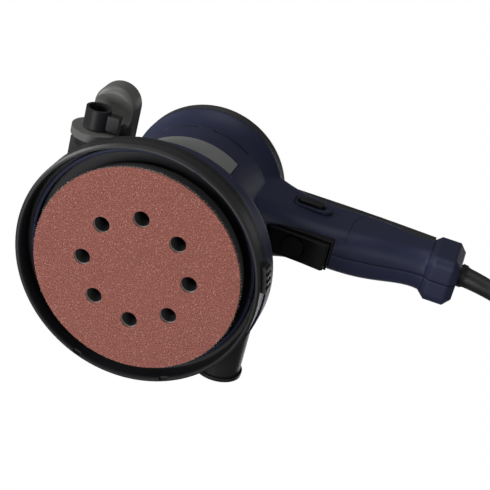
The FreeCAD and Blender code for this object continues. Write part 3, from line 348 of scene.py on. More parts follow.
@dataclass(frozen=True)
class Moulded(Finish):
    """Moulded plastic with a spark-eroded texture, faint flow marks and handling scuffs."""

    roughness: float = 0.42
    grain: float = 2600.0
    grain_depth: float = 0.00006
    scuffs: float = 0.12
    coat: float = 0.0
    gloss: float = 0.3
    round_over: float = 0.0
    FLOW: ClassVar[Noise] = Noise(16.0, 4.0)
    SCUFF: ClassVar[Noise] = Noise(90.0, 6.0, 0.7, Vector((1.0, 1.0, 3.4)))
    LINE_DEPTH: ClassVar[float] = 5.0

    def build(self) -> bpy.types.Material:
        """Builds the material's nodes.

        Returns:
            The material.
        """
        shader = Shader(self.name)
        flow = shader.noise(self.FLOW)
        grain = shader.noise(Noise(self.grain, 2.0, 0.6))
        scuff = shader.noise(self.SCUFF).ramp(0.6, 0.78)
        body = shader.mix(flow.ramp(0.3, 0.7), shade(self.colour, 0.8), self.colour)
        body = shader.mix(scuff * self.scuffs, body, shade(self.colour, 1.45, 0.018))
        rough = self.roughness + (grain - 0.5) * 0.10 + (flow - 0.5) * 0.12 - scuff * 0.06
        height = grain
        lines = self.lines(shader)
        if lines is not None:
            body = shader.mix(lines * 0.8, body, shade(self.colour, 0.2))
            height = height - lines * self.LINE_DEPTH
        bend = {}
        if self.round_over:
            bend["Normal"] = shader.node("ShaderNodeBevel", {"samples": 6},
                                         {"Radius": self.round_over})
        return shader.finish(Base_Color=body, Roughness=rough, Specular_IOR_Level=self.gloss,
                             Coat_Weight=self.coat, Coat_Roughness=0.3,
                             Normal=shader.relief(height, self.grain_depth, 0.75, **bend))

    def lines(self, shader: Shader) -> Socket | None:
        """Gives the mask of the lines moulded into the surface, or None."""
        return None


@dataclass(frozen=True)
class Shell(Moulded):
    """The housing's plastic, with the halves' parting line and the handle's panel lines."""

    line_half: float = 0.00028
    tail_start: float = 0.1565
    panel_top: float = 0.1495
    panel_front: float = 0.1035
    panel_lean: float = 0.012
    panel_low: float = 0.118
    panel_corner: float = 0.1485
    panel_top_start: float = 0.1155
    front_inset: float = 0.009
    top_inset: float = 0.008

    def lines(self, shader: Shader) -> Socket | None:
        """Gives the mask of the parting line, the tail's joint and the panel's edge.

        Args:
            shader: the shader that the mask is made in.

        Returns:
            The mask, 1 on a line and 0 elsewhere.
        """
        along, across, height = shader.axes()
        parting = across.size().under(self.line_half)
        tail = (along - self.tail_start).size().under(self.line_half)
        rise = height.ramp(self.panel_low, self.panel_corner)
        lean = rise ** 3.0 * self.panel_lean + self.panel_front
        side = across.size().over(self.front_inset) * height.under(self.panel_top)
        front = (along - lean).size().under(self.line_half * 1.3) * side
        top = ((height - self.panel_top).size().under(self.line_half)
               * along.over(self.panel_top_start) * along.under(self.tail_start)
               * across.size().over(self.top_inset))
        return parting.most(tail).most(front).most(top)


@dataclass(frozen=True)
class Rubber(Finish):
    """Soft rubber: nearly matt, dusted a little, with a fine pebble."""

    roughness: float = 0.62
    pebble: float = 1500.0
    dust: float = 0.10
    DUST: ClassVar[Noise] = Noise(60.0, 6.0, 0.7)
    DUST_COLOUR: ClassVar[Colour] = (0.16, 0.15, 0.14)

    def build(self) -> bpy.types.Material:
        """Builds the material's nodes.

        Returns:
            The material.
        """
        shader = Shader(self.name)
        pebble = shader.cells(self.pebble, "SMOOTH_F1")
        dust = shader.noise(self.DUST)
        body = shader.mix(dust.ramp(0.5, 0.8, 0.0, self.dust), self.colour, self.DUST_COLOUR)
        return shader.finish(Base_Color=body, Roughness=self.roughness + (dust - 0.5) * 0.2,
                             Specular_IOR_Level=0.36, Sheen_Weight=0.08, Sheen_Roughness=0.5,
                             Normal=shader.relief(pebble, 0.00007, 0.6))


@dataclass(frozen=True)
class Grit(Finish):
    """Aluminium oxide grit bonded to paper: coarse grains, dark resin and worn pale tips."""

    grains: float = 1500.0
    flecks: float = 620.0
    SPECK: ClassVar[Noise] = Noise(1250.0, 3.0, 0.8)
    PATCH: ClassVar[Noise] = Noise(420.0, 3.0, 0.7)
    CLOG: ClassVar[Noise] = Noise(45.0, 5.0, 0.65)
    FLECK_COLOUR: ClassVar[Colour] = (0.62, 0.42, 0.34)

    def build(self) -> bpy.types.Material:
        """Builds the material's nodes.

        Returns:
            The material.
        """
        shader = Shader(self.name)
        grain = shader.cells(self.grains)
        speck = shader.noise(self.SPECK)
        fleck = shader.cells(self.flecks).ramp(0.05, 0.28, 1.0, 0.0)
        patch = shader.noise(self.PATCH)
        clog = shader.noise(self.CLOG)
        deep = shade(self.colour, 0.34)
        light = shade(self.colour, 1.9, 0.03)
        body = shader.mix(speck.ramp(0.38, 0.62), deep, light)
        body = shader.mix(patch.ramp(0.35, 0.65) * 0.45, body, self.colour)
        body = shader.mix(grain.ramp(0.1, 0.6) * 0.25, body, deep)
        body = shader.mix(fleck * 0.5, body, self.FLECK_COLOUR)
        body = shader.mix(clog.ramp(0.5, 0.8) * 0.2, body, deep)
        return shader.finish(Base_Color=body, Roughness=0.88 - fleck * 0.3,
                             Specular_IOR_Level=0.3,
                             Normal=shader.relief(speck * 0.7 + (1 - grain) * 0.8, 0.0003, 0.9))


@dataclass(frozen=True)
class Metal(Finish):
    """Bare metal with a drawn or turned grain and faint oil staining."""

    roughness: float = 0.3
    grain: Vector = field(default_factory=lambda: Vector((1.0, 1.0, 14.0)))
    stain: float = 0.2
    STAIN: ClassVar[Noise] = Noise(55.0, 4.0)

    def build(self) -> bpy.types.Material:
        """Builds the material's nodes.

        Returns:
            The material.
        """
        shader = Shader(self.name)
        grain = shader.noise(Noise(420.0, 4.0, 0.7, self.grain))
        stain = shader.noise(self.STAIN)
        dull = shade(self.colour, 0.55)
        body = shader.mix(stain.ramp(0.45, 0.8, 0.0, self.stain), self.colour, dull)
        return shader.finish(Base_Color=body, Metallic=1.0,
                             Roughness=self.roughness + (grain - 0.5) * 0.22 + (stain - 0.5) * 0.1,
                             Normal=shader.relief(grain, 0.00004, 0.5))


@dataclass(frozen=True)
class Wound(Finish):
    """Enamelled wire laid in turns."""

    pitch: float = 5200.0
    ENAMEL: ClassVar[Noise] = Noise(140.0)

    def build(self) -> bpy.types.Material:
        """Builds the material's nodes.

        Returns:
            The material.
        """
        shader = Shader(self.name)
        turns = (shader.axes()[2] * self.pitch).wave().size()
        tone = shader.noise(self.ENAMEL)
        dark = shade(self.colour, 0.35)
        body = shader.mix(turns.ramp(0.1, 0.6), dark, self.colour)
        return shader.finish(Base_Color=body, Metallic=0.85, Roughness=0.3 + tone * 0.2,
                             Coat_Weight=0.4, Normal=shader.relief(turns, 0.0003, 0.8))


@dataclass(frozen=True)
class Laminated(Finish):
    """A stack of thin steel sheets, with dark lines between them."""

    sheets: float = 6200.0
    VARNISH: ClassVar[Noise] = Noise(90.0, 4.0)

    def build(self) -> bpy.types.Material:
        """Builds the material's nodes.

        Returns:
            The material.
        """
        shader = Shader(self.name)
        sheet = (shader.axes()[2] * self.sheets).wave()
        tone = shader.noise(self.VARNISH)
        body = shader.mix(sheet.ramp(-0.9, -0.2), shade(self.colour, 0.3), self.colour)
        return shader.finish(Base_Color=body, Metallic=0.9, Roughness=0.35 + tone * 0.25,
                             Normal=shader.relief(sheet, 0.0001, 0.7))


@dataclass(frozen=True)
class Looped(Finish):
    """The pale hook-and-loop layer under the paper."""

    loops: float = 1900.0
    FUZZ: ClassVar[Noise] = Noise(2800.0, 3.0, 0.7)

    def build(self) -> bpy.types.Material:
        """Builds the material's nodes.

        Returns:
            The material.
        """
        shader = Shader(self.name)
        loop = shader.cells(self.loops)
        fuzz = shader.noise(self.FUZZ)
        dark = shade(self.colour, 0.5)
        body = shader.mix(loop.ramp(0.1, 0.7), dark, self.colour)
        return shader.finish(Base_Color=body, Roughness=0.95, Sheen_Weight=0.5,
                             Normal=shader.relief(loop + fuzz * 0.4, 0.0004, 0.9))


@dataclass(frozen=True)
class Foam(Finish):
    """Closed-cell foam with its cut cells showing."""

    pores: float = 1300.0
    WEAR: ClassVar[Noise] = Noise(70.0)

    def build(self) -> bpy.types.Material:
        """Builds the material's nodes.

        Returns:
            The material.
        """
        shader = Shader(self.name)
        cell = shader.cells(self.pores)
        tone = shader.noise(self.WEAR)
        light = shade(self.colour, 2.1, 0.01)
        body = shader.mix(cell.ramp(0.0, 0.5), self.colour, light)
        return shader.finish(Base_Color=body, Roughness=0.85 + (tone - 0.5) * 0.2,
                             Normal=shader.relief(cell, 0.0003, 0.9))


@dataclass(frozen=True)
class Sheath(Finish):
    """A cord's smooth rubber sheath, a little dusty and scuffed along its length."""

    DUST: ClassVar[Noise] = Noise(45.0, 5.0, 0.7)
    GRAIN: ClassVar[Noise] = Noise(2200.0, 2.0)
    DUST_COLOUR: ClassVar[Colour] = (0.14, 0.13, 0.12)

    def build(self) -> bpy.types.Material:
        """Builds the material's nodes.

        Returns:
            The material.
        """
        shader = Shader(self.name)
        dust = shader.noise(self.DUST)
        grain = shader.noise(self.GRAIN)
        body = shader.mix(dust.ramp(0.5, 0.85, 0.0, 0.12), self.colour, self.DUST_COLOUR)
        return shader.finish(Base_Color=body, Roughness=0.44 + (dust - 0.5) * 0.28,
                             Specular_IOR_Level=0.4, Normal=shader.relief(grain, 0.00003, 0.5))


class Tone(Enum):
    """The object's finishes."""

    HOUSING = Shell("navy_housing", linear(41, 44, 67), 0.46, 2600.0, 0.00006, 0.06, 0.0, 0.2,
                    0.0028)
    BLACK = Moulded("black_plastic", linear(30, 30, 32), 0.40, 2300.0, 0.00006, 0.12)
    RING = Moulded("ring_plastic", linear(34, 34, 36), 0.44, 2400.0, 0.00006, 0.2, 0.0, 0.35)
    LIP = Moulded("inlet_plastic", linear(20, 20, 24), 0.5, 2400.0, 0.00006, 0.15)
    CONTROL = Moulded("control_plastic", linear(16, 16, 18), 0.38, 2700.0, 0.00005, 0.06)
    # Painted light: the paddle's black plastic is given the grey that its lit face shows, over the
    # whole part.
    PADDLE_PAINTED_LIT_GREY = Moulded("paddle_painted_lit_grey", linear(92, 92, 90), 0.42, 2200.0, 0.00007, 0.15)
    BADGE = Moulded("badge_plate", linear(120, 122, 120), 0.34, 3200.0, 0.00003, 0.1, 0.2)
    SOFT = Rubber("soft_cover", linear(14, 14, 16), 0.6, 1400.0, 0.06)
    GUARD = Rubber("guard_rubber", linear(18, 18, 20), 0.5, 2000.0, 0.05)
    SHEATH = Sheath("cord_sheath", linear(22, 22, 24))
    PAPER = Grit("abrasive_paper", linear(138, 80, 70))
    FIBRE = Looped("edge_fibre", linear(196, 184, 168))
    HOOK = Looped("hook_layer", linear(205, 200, 190))
    FOAM = Foam("pad_foam", linear(46, 46, 48))
    PLATE = Moulded("pad_plate", linear(48, 48, 52), 0.5, 1800.0, 0.0001, 0.2)
    FAN = Moulded("fan_nylon", linear(120, 120, 118), 0.5, 1500.0, 0.0001, 0.1)
    STEEL = Metal("turned_steel", linear(178, 178, 180), 0.28)
    DARK_STEEL = Metal("blackened_steel", linear(70, 70, 72), 0.42)
    CAST = Metal("cast_alloy", linear(176, 176, 174), 0.5, Vector((1.0, 1.0, 1.0)), 0.35)
    BRASS = Metal("plug_brass", linear(200, 170, 110), 0.26)
    COPPER = Wound("copper_wire", linear(190, 110, 66))
    CORE = Laminated("core_sheets", linear(140, 140, 142))
    CARBON = Foam("brush_carbon", linear(36, 36, 38))
    BOARD = Moulded("circuit_board", linear(24, 84, 48), 0.3, 900.0, 0.0001, 0.3, 0.4)


# ---------------------------------------------------------------- mesh kit


@dataclass
class Workshop:
    """The loaded frame, and the few jobs that every sub-assembly shares."""

    frame: dict[str, Any]
    join_distance: float = 3e-6
    flat_angle: float = 0.6

    def dress(self, tone: Tone, *nodes: str) -> None:
        """Gives CAD nodes a finish.

        Args:
            tone: the finish.
            nodes: the nodes' names.
        """
        for name in nodes:
            materials = self.frame["nodes"][name].data.materials
            materials.clear()
            materials.append(tone.value.material())

    def add(self, name: str, form: bmesh.types.BMesh, tone: Tone, body: str,
            replaced: Iterable[str] = (), smooth_angle: float = 32.0) -> bpy.types.Object:
        """Makes a finished mesh into a piece that rides on a body.

        Args:
            name: the piece's name.
            form: its mesh, which is freed.
            tone: its finish.
            body: the body that it rides on.
            replaced: the CAD nodes that it stands for.
            smooth_angle: the sharpest edge that is shaded smooth, in degrees.

        Returns:
            The new object.
        """
        mesh = bpy.data.meshes.new(name)
        for face in form.faces:
            face.smooth = True
        for edge in form.edges:
            if len(edge.link_faces) == 2:
                edge.smooth = edge.calc_face_angle(0.0) < math.radians(smooth_angle)
        form.to_mesh(mesh)
        form.free()
        piece = bpy.data.objects.new(name, mesh)
        bpy.context.scene.collection.objects.link(piece)
        return self.settle(piece, tone, body, replaced)

    def settle(self, piece: bpy.types.Object, tone: Tone, body: str,
               replaced: Iterable[str] = ()) -> bpy.types.Object:
        """Dresses a piece and hands it to the frame.

        Args:
            piece: the object.
            tone: its finish.
            body: the body that it rides on.
            replaced: the CAD nodes that it stands for.

        Returns:
            The same object.
        """
        piece.data.materials.append(tone.value.material())
        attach(piece, body)
        if replaced:
            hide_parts(*replaced)
        LOG.info("%s rides on %s", piece.name, body)
        return piece

    def copied(self, node: str) -> bmesh.types.BMesh:
        """Copies a CAD node's mesh, with its corners joined and its flat faces whole.

        Args:
            node: the node's name.

        Returns:
            The clean mesh.
        """
        form = bmesh.new()
        form.from_mesh(self.frame["nodes"][node].data)
        bmesh.ops.remove_doubles(form, verts=form.verts, dist=self.join_distance)
        bmesh.ops.dissolve_limit(form, angle_limit=math.radians(self.flat_angle),
                                 verts=form.verts, edges=form.edges, delimit=set())
        return form

    def eased(self, name: str, node: str, tone: Tone, body: str, width: float,
              segments: int = 3, angle: float = 34.0) -> bpy.types.Object:
        """Makes a copy of a CAD node with its sharp edges eased.

        Args:
            name: the new piece's name.
            node: the node that it stands for.
            tone: its finish.
            body: the body that it rides on.
            width: the eased edges' width, in metres.
            segments: their steps.
            angle: the softest edge that is eased, in degrees.

        Returns:
            The new object.
        """
        piece = self.add(name, self.copied(node), tone, body, [node], angle)
        bevel = piece.modifiers.new("eased", "BEVEL")
        bevel.width = width
        bevel.segments = segments
        bevel.limit_method = "ANGLE"
        bevel.angle_limit = math.radians(angle)
        bevel.use_clamp_overlap = True
        bevel.harden_normals = True
        return piece


@dataclass(frozen=True)
class Station:
    """One cross-section of a swept form.

    The section lies across the direction, and is a rounded rectangle: squareness 2 is an
    ellipse, and higher values have squarer corners.
    """

    centre: Vector
    direction: Vector
    half_width: float
    half_height: float
    squareness: float = ROUND


def swept(stations: Sequence[Station], segments: int) -> bmesh.types.BMesh:
    """Sweeps a rounded section from station to station and closes both ends.

    Args:
        stations: the sections in order.
        segments: the points round each section.

    Returns:
        The closed form.
    """
    form = bmesh.new()
    circle = bmesh.ops.create_circle(form, cap_ends=False, radius=1.0, segments=segments)
    ring = list(circle["verts"])
    angles = [math.atan2(vert.co.y, vert.co.x) for vert in ring]

    def shape(verts: Sequence[bmesh.types.BMVert], station: Station) -> None:
        """Moves a ring of points onto its section.

        Args:
            verts: the ring's points, in the order of the angles.
            station: the section.
        """
        side = station.direction.cross(UP).normalized()
        rise = side.cross(station.direction).normalized()
        for vert, angle in zip(verts, angles):
            power = 2.0 / station.squareness
            across = math.copysign(abs(math.cos(angle)) ** power, math.cos(angle))
            along = math.copysign(abs(math.sin(angle)) ** power, math.sin(angle))
            vert.co = (station.centre + side * across * station.half_width
                       + rise * along * station.half_height)

    shape(ring, stations[0])
    ranks = {vert: rank for rank, vert in enumerate(ring)}
    edges = list(form.edges)
    first = edges
    for station in stations[1:]:
        grown = bmesh.ops.extrude_edge_only(form, edges=edges)["geom"]
        edges = [item for item in grown if isinstance(item, bmesh.types.BMEdge)
                 and item.is_boundary]
        fresh = [item for item in grown if isinstance(item, bmesh.types.BMVert)]
        linked = {}
        for vert in fresh:
            for edge in vert.link_edges:
                other = edge.other_vert(vert)
                if other in ring:
                    linked[other] = vert
        ring = [linked[vert] for vert in ring]
        ranks.update(dict(zip(ring, range(len(ranks), len(ranks) + segments))))
        shape(ring, station)
    bmesh.ops.holes_fill(form, edges=first, sides=0)
    bmesh.ops.holes_fill(form, edges=edges, sides=0)
    bmesh.ops.recalc_face_normals(form, faces=form.faces)

    def place(face: bmesh.types.BMFace) -> int:
        """Gives a face's place in the order, from its lowest and highest points' ranks."""
        places = [ranks[vert] for vert in face.verts]
        return min(places) * len(ranks) + max(places)

    # Extruding leaves the points and faces in an order that changes from run to run
    form.faces.sort(key=place)
    form.verts.sort(key=lambda vert: ranks[vert])
    return form


# ---------------------------------------------------------------- mains lead


@dataclass
class MainsLead:
    """The lead with its coil, the bend guard that it leaves by, and its plug."""

    shop: Workshop
    diameter: float = 7.0
    exit_face: Vector = field(default_factory=lambda: Vector((177.0, 0.0, 135.0)))
    guard_length: float = 46.0
    guard_bend: float = 82.0
    guard_dip: float = 11.0
    guard_radius: float = 6.8
    guard_tip_radius: float = 5.2
    coil_centre: tuple[float, float] = (306.0, 8.0)
    coil_turn_points: int = 16
    length: float = 1.78
    plug_length: float = 36.0
    plug_width: float = 34.0
    plug_height: float = 16.0
    pin_spacing: float = 19.0
    curve_steps: int = 5
    guard_segments: int = 40
    plug_segments: int = 48
    pin_segments: int = 20

    ROUTE: ClassVar[tuple[tuple[float, float, float], ...]] = (
        (217.4, 0.0, 114.3), (236.0, -1.0, 96.5), (249.0, -4.0, 72.0), (257.0, -10.0, 46.5),
        (265.5, -19.0, 21.5), (282.0, -30.0, 6.4),
    )
    # Turns already wound, distance from the coil's axis, and height
    LAYERS: ClassVar[tuple[tuple[float, float, float], ...]] = (
        (0.0, 46.2, 3.5), (0.75, 46.2, 3.5), (1.0, 39.1, 3.5), (1.75, 39.1, 3.5),
        (2.0, 32.0, 3.5), (2.7, 32.0, 3.6), (3.0, 35.5, 9.9), (3.75, 35.5, 9.9),
        (4.0, 42.6, 9.9), (4.7, 42.6, 9.9), (5.0, 39.0, 15.9), (5.9, 39.0, 15.9),
        (6.18, 45.4, 15.9),
    )
    TAIL: ClassVar[tuple[tuple[float, float, float], ...]] = (
        (354.4, 27.0, 13.0), (362.4, 45.5, 5.4), (379.0, 57.0, 4.6), (397.0, 60.0, 8.0),
    )

    # Distances from the end face, and how far the sleeve is drawn in there
    GUARD_PROFILE: ClassVar[tuple[tuple[float, float], ...]] = (
        (-3.5, 0.0), (0.2, 0.0), (0.6, 0.9), (3.4, 0.9), (4.4, 0.2), (6.0, 0.0), (10.0, 0.0),
        (15.0, 0.0), (20.0, 0.0), (25.0, 0.0), (30.0, 0.0), (35.0, 0.0), (38.4, 0.0),
        (38.9, 0.35), (42.6, 0.35), (43.1, 0.0), (44.6, 0.0), (45.6, -0.4), (46.0, -1.3),
    )
    # Distance along the plug, shares of its width and height, and squareness
    PLUG_PROFILE: ClassVar[tuple[tuple[float, float, float, float], ...]] = (
        (-0.2, 0.26, 0.50, ROUND), (0.6, 0.36, 0.66, ROUND), (1.6, 0.40, 0.72, ROUND),
        (4.0, 0.42, 0.74, 2.1), (5.0, 0.37, 0.66, 2.1), (6.0, 0.37, 0.66, 2.1),
        (7.0, 0.48, 0.80, 2.2), (10.0, 0.66, 0.88, 2.4), (14.0, 0.86, 0.95, 2.8),
        (17.0, 0.95, 0.99, 3.2), (18.0, 0.93, 0.93, 3.2), (19.2, 0.93, 0.93, 3.2),
        (20.2, 0.98, 0.99, 3.4), (22.0, 0.97, 0.93, 3.4), (23.2, 0.97, 0.93, 3.4),
        (24.2, 1.0, 0.99, 3.6), (26.0, 0.985, 0.93, 3.6), (27.2, 0.985, 0.93, 3.6),
        (28.2, 1.0, 0.99, 3.8), (34.6, 1.0, 0.99, 3.8), (35.6, 0.98, 0.95, 3.8),
        (36.0, 0.94, 0.88, 3.8),
    )
    # Distance along a pin from the plug's end face, and its radius there
    PIN_PROFILE: ClassVar[tuple[tuple[float, float], ...]] = (
        (-1.0, 2.4), (17.4, 2.4), (18.5, 2.0), (19.0, 1.2),
    )

    def guard_point(self, distance: float) -> tuple[Vector, Vector]:
        """Finds a point on the guard's centre line.

        Args:
            distance: how far it is from the handle's end face, in millimetres.

        Returns:
            The point and the way that the guard runs there.
        """
        dip = math.radians(self.guard_dip)
        turned = distance / self.guard_bend + dip
        centre = self.exit_face - Vector((math.sin(dip), 0, math.cos(dip))) * self.guard_bend
        point = centre + Vector((math.sin(turned), 0, math.cos(turned))) * self.guard_bend
        return point * MM, Vector((math.cos(turned), 0, -math.sin(turned)))

    def guard(self) -> bpy.types.Object:
        """Builds the tapered guard with its grooves.

        Returns:
            The guard.
        """
        stations = [self._ring(distance, inset) for distance, inset in self.GUARD_PROFILE]
        return self.shop.add("bend_guard", swept(stations, self.guard_segments), Tone.GUARD,
                             "housing", ["cord_guard"], 50.0)

    def _ring(self, distance: float, inset: float) -> Station:
        """Gives the guard's section at a distance.

        Args:
            distance: how far it is from the handle's end face, in millimetres.
            inset: what is added to the sleeve's radius there, in millimetres.

        Returns:
            The section.
        """
        point, way = self.guard_point(max(distance, 0.0))
        point = point + way * (min(distance, 0.0) * MM)
        share = max(0.0, distance / self.guard_length)
        radius = self.guard_radius * (1 - share) + self.guard_tip_radius * share + inset
        return Station(point, way, radius * MM, radius * MM)

    def coil_points(self) -> list[Vector]:
        """Gives the coil's own points, turn by turn.

        The lead is a curve that runs a little inside its points, so they stand out by as much.

        Returns:
            The points, in millimetres.
        """
        drawn_in = 0.5 * (math.cos(math.pi / self.coil_turn_points)
                          + 0.75 + 0.25 * math.cos(math.tau / self.coil_turn_points))
        last = self.LAYERS[-1][0]
        points = []
        step = 0
        while step / self.coil_turn_points <= last:
            turns = step / self.coil_turn_points
            for before, after in zip(self.LAYERS, self.LAYERS[1:]):
                if before[0] <= turns <= after[0]:
                    share = (turns - before[0]) / (after[0] - before[0])
                    share = share * share * (3 - 2 * share)
                    reach = before[1] + (after[1] - before[1]) * share
                    height = before[2] + (after[2] - before[2]) * share
                    break
            angle = math.tau * turns - math.pi / 2
            points.append(Vector((self.coil_centre[0] + math.cos(angle) * reach / drawn_in,
                                  self.coil_centre[1] + math.sin(angle) * reach / drawn_in,
                                  height)))
            step += 1
        return points

    def lead(self) -> bpy.types.Object:
        """Builds the lead as one smooth curve.

        Returns:
            The lead.
        """
        curve = bpy.data.curves.new("mains_lead", "CURVE")
        curve.dimensions = "3D"
        curve.bevel_depth = self.diameter / 2 * MM
        curve.bevel_resolution = self.curve_steps
        curve.resolution_u = self.curve_steps
        curve.use_fill_caps = True
        points = [Vector(point) for point in self.ROUTE] + self.coil_points()
        points += [Vector(point) for point in self.TAIL]
        spline = curve.splines.new("NURBS")
        spline.points.add(len(points) - 1)
        for knot, point in zip(spline.points, points):
            knot.co = (*(point * MM), 1.0)
        spline.order_u = 3
        spline.use_endpoint_u = True
        piece = bpy.data.objects.new("mains_lead", curve)
        bpy.context.scene.collection.objects.link(piece)
        return self.shop.settle(piece, Tone.SHEATH, "housing",
                                ["power_cord", "cord_coil", "cord_tail"])

    def plug(self) -> tuple[bpy.types.Object, bpy.types.Object]:
        """Builds the plug's body and its two pins.

        Returns:
            The body and the pins.
        """
        start, before = Vector(self.TAIL[-1]), Vector(self.TAIL[-2])
        way = Vector((start.x - before.x, start.y - before.y, 0.0)).normalized()
        middle = Vector((start.x, start.y, self.plug_height / 2))
        half_width, half_height = self.plug_width / 2, self.plug_height / 2
        stations = [Station((middle + way * along) * MM, way, half_width * wide * MM,
                            half_height * high * MM, square)
                    for along, wide, high, square in self.PLUG_PROFILE]
        body = self.shop.add("plug_body", swept(stations, self.plug_segments), Tone.BLACK,
                             "housing", ["mains_plug"], 40.0)
        pins = bmesh.new()
        side = way.cross(UP).normalized()
        for share in (-1, 1):
            base = middle + way * self.plug_length + side * (self.pin_spacing / 2 * share)
            pin = swept([Station((base + way * along) * MM, way, radius * MM, radius * MM)
                         for along, radius in self.PIN_PROFILE], self.pin_segments)
            scratch = bpy.data.meshes.new("pin")
            pin.to_mesh(scratch)
            pin.free()
            pins.from_mesh(scratch)
            bpy.data.meshes.remove(scratch)
        contact = self.shop.add("plug_contacts", pins, Tone.BRASS, "housing", ["plug_pins"], 40.0)
        return body, contact

    def build(self) -> None:
        """Builds the lead and everything on it."""
        guard = self.guard()
        lead = self.lead()
        plug, pins = self.plug()


# ---------------------------------------------------------------- sole


@dataclass
class Sole:
    """What faces the work: the dust ring, the paper and the layers of the pad."""

    shop: Workshop
    disc_centre: float = 1.5
    disc_radius: float = 62.5
    fibres: int = 420
    rooted: float = 1.2
    seed: int = 7

    def build(self) -> None:
        """Dresses the pad's layers and adds the paper's frayed edge."""
        self.shop.dress(Tone.PAPER, "abrasive_disc")
        self.shop.dress(Tone.HOOK, "hook_layer")
        self.shop.dress(Tone.FOAM, "pad_foam")
        self.shop.dress(Tone.PLATE, "backing_plate")
        self.shop.dress(Tone.LIP, "inlet_plate")
        self.shop.dress(Tone.RING, "dust_ring")
        self.shop.dress(Tone.STEEL, "pad_spindle", "pad_washer")
        self.shop.dress(Tone.DARK_STEEL, "pad_screw")
        self.fringe()

    def fringe(self) -> None:
        """Adds the pale loops that stand out round the paper's edge."""
        draw = random.Random(self.seed)
        form = bmesh.new()
        for index in range(self.fibres):
            turn = math.tau * (index + draw.uniform(-0.4, 0.4)) / self.fibres
            reach = self.disc_radius - draw.uniform(0.9, 1.3)
            out = draw.uniform(0.1, 0.75)
            lean = draw.uniform(-0.5, 0.5)
            thick = draw.uniform(0.12, 0.22)
            radial = Vector((math.cos(turn), math.sin(turn), 0.0))
            along = Vector((-radial.y, radial.x, 0.0))
            root = Vector((self.disc_centre, 0.0, draw.uniform(0.55, 1.25))) + radial * reach
            middle = root + radial * (self.rooted + out * 0.5) + along * (lean * 0.3)
            tip = (root + radial * (self.rooted + out) + along * lean
                   + Vector((0, 0, draw.uniform(-0.25, 0.3))))
            self._strand(form, root, middle, thick, thick * 0.5)
            self._strand(form, middle, tip, thick * 0.6, thick * 0.3)
        self.shop.add("paper_fibres", form, Tone.FIBRE, "pad")

    @staticmethod
    def _strand(form: bmesh.types.BMesh, start: Vector, end: Vector, root_radius: float,
                tip_radius: float) -> None:
        """Adds one straight, tapered piece of a fibre. All its sizes are in millimetres.

        Args:
            form: the mesh that it is added to.
            start: where it starts.
            end: where it ends.
            root_radius: its radius at the start.
            tip_radius: its radius at the end.
        """
        made = bmesh.ops.create_cone(form, cap_ends=True, segments=3, radius1=root_radius * MM,
                                     radius2=tip_radius * MM, depth=(end - start).length * MM)
        turn = (end - start).to_track_quat("Z", "Y").to_matrix().to_4x4()
        bmesh.ops.transform(form, matrix=Matrix.Translation((start + end) / 2 * MM) @ turn,
                            verts=made["verts"])


# ---------------------------------------------------------------- housing


@dataclass
class Housing:
    """The two moulded halves with the parts fixed in and on them."""

    shop: Workshop

    def build(self) -> None:
        """Dresses the housing and its trim."""
        self.shop.dress(Tone.HOUSING, "housing_left", "housing_right")
        self.shop.dress(Tone.DARK_STEEL, "housing_screws")
        self.shop.dress(Tone.SOFT, "soft_cover")
        self.shop.dress(Tone.BADGE, "badge_plate", "rating_plate")
        self.shop.dress(Tone.BLACK, "dust_port", "cord_clamp", "switch_module", "lock_latch",
                        "bearing_bridge")
        self.shop.dress(Tone.BOARD, "speed_board")
        self.shop.dress(Tone.DARK_STEEL, "capacitor")
        self.shop.dress(Tone.STEEL, "lock_spring", "trigger_spring")


# ---------------------------------------------------------------- controls


@dataclass
class Controls:
    """The trigger with its speed dial, and the lock button."""

    shop: Workshop

    def build(self) -> None:
        """Builds the controls with eased edges."""
        self.shop.eased("trigger_key", "trigger", Tone.CONTROL, "trigger", 0.0007)
        self.shop.eased("dial_wheel", "speed_dial", Tone.CONTROL, "speed_dial", 0.00035, 2)
        self.shop.eased("trigger_frame", "trigger_bezel", Tone.CONTROL, "housing", 0.0005)
        self.shop.eased("lock_key", "lock_button", Tone.CONTROL, "lock_button", 0.001)
        self.shop.eased("lock_frame", "lock_bezel", Tone.HOUSING, "housing", 0.0006)


# ---------------------------------------------------------------- side grip


@dataclass
class SideGrip:
    """The side handle on its clamp: bracket, bolt, hub with paddle, and knob."""

    shop: Workshop

    def build(self) -> None:
        """Builds the grip's pieces."""
        self.shop.eased("grip_paddle", "side_handle", Tone.PADDLE_PAINTED_LIT_GREY, "side_handle", 0.0012)
        self.shop.eased("clamp_turner", "clamp_knob", Tone.BLACK, "clamp_knob", 0.0008)
        self.shop.eased("clamp_bracket", "handle_bracket", Tone.BLACK, "housing", 0.0008)
        self.shop.dress(Tone.STEEL, "clamp_bolt")


# ---------------------------------------------------------------- drive


@dataclass
class Drive:
    """The motor and the parts that turn inside the housing."""

    shop: Workshop

    def build(self) -> None:
        """Dresses the motor."""
        self.shop.dress(Tone.STEEL, "motor_shaft", "pad_bearing", "lower_bearing",
                        "upper_bearing", "brush_springs")
        self.shop.dress(Tone.CORE, "armature_core", "stator_core")
        self.shop.dress(Tone.COPPER, "armature_windings", "field_coils")
        self.shop.dress(Tone.CAST, "eccentric", "bearing_shield")
        self.shop.dress(Tone.FAN, "cooling_fan")
        self.shop.dress(Tone.BRASS, "brush_holders", "commutator")
        self.shop.dress(Tone.CARBON, "carbon_brushes")


# ---------------------------------------------------------------- studio


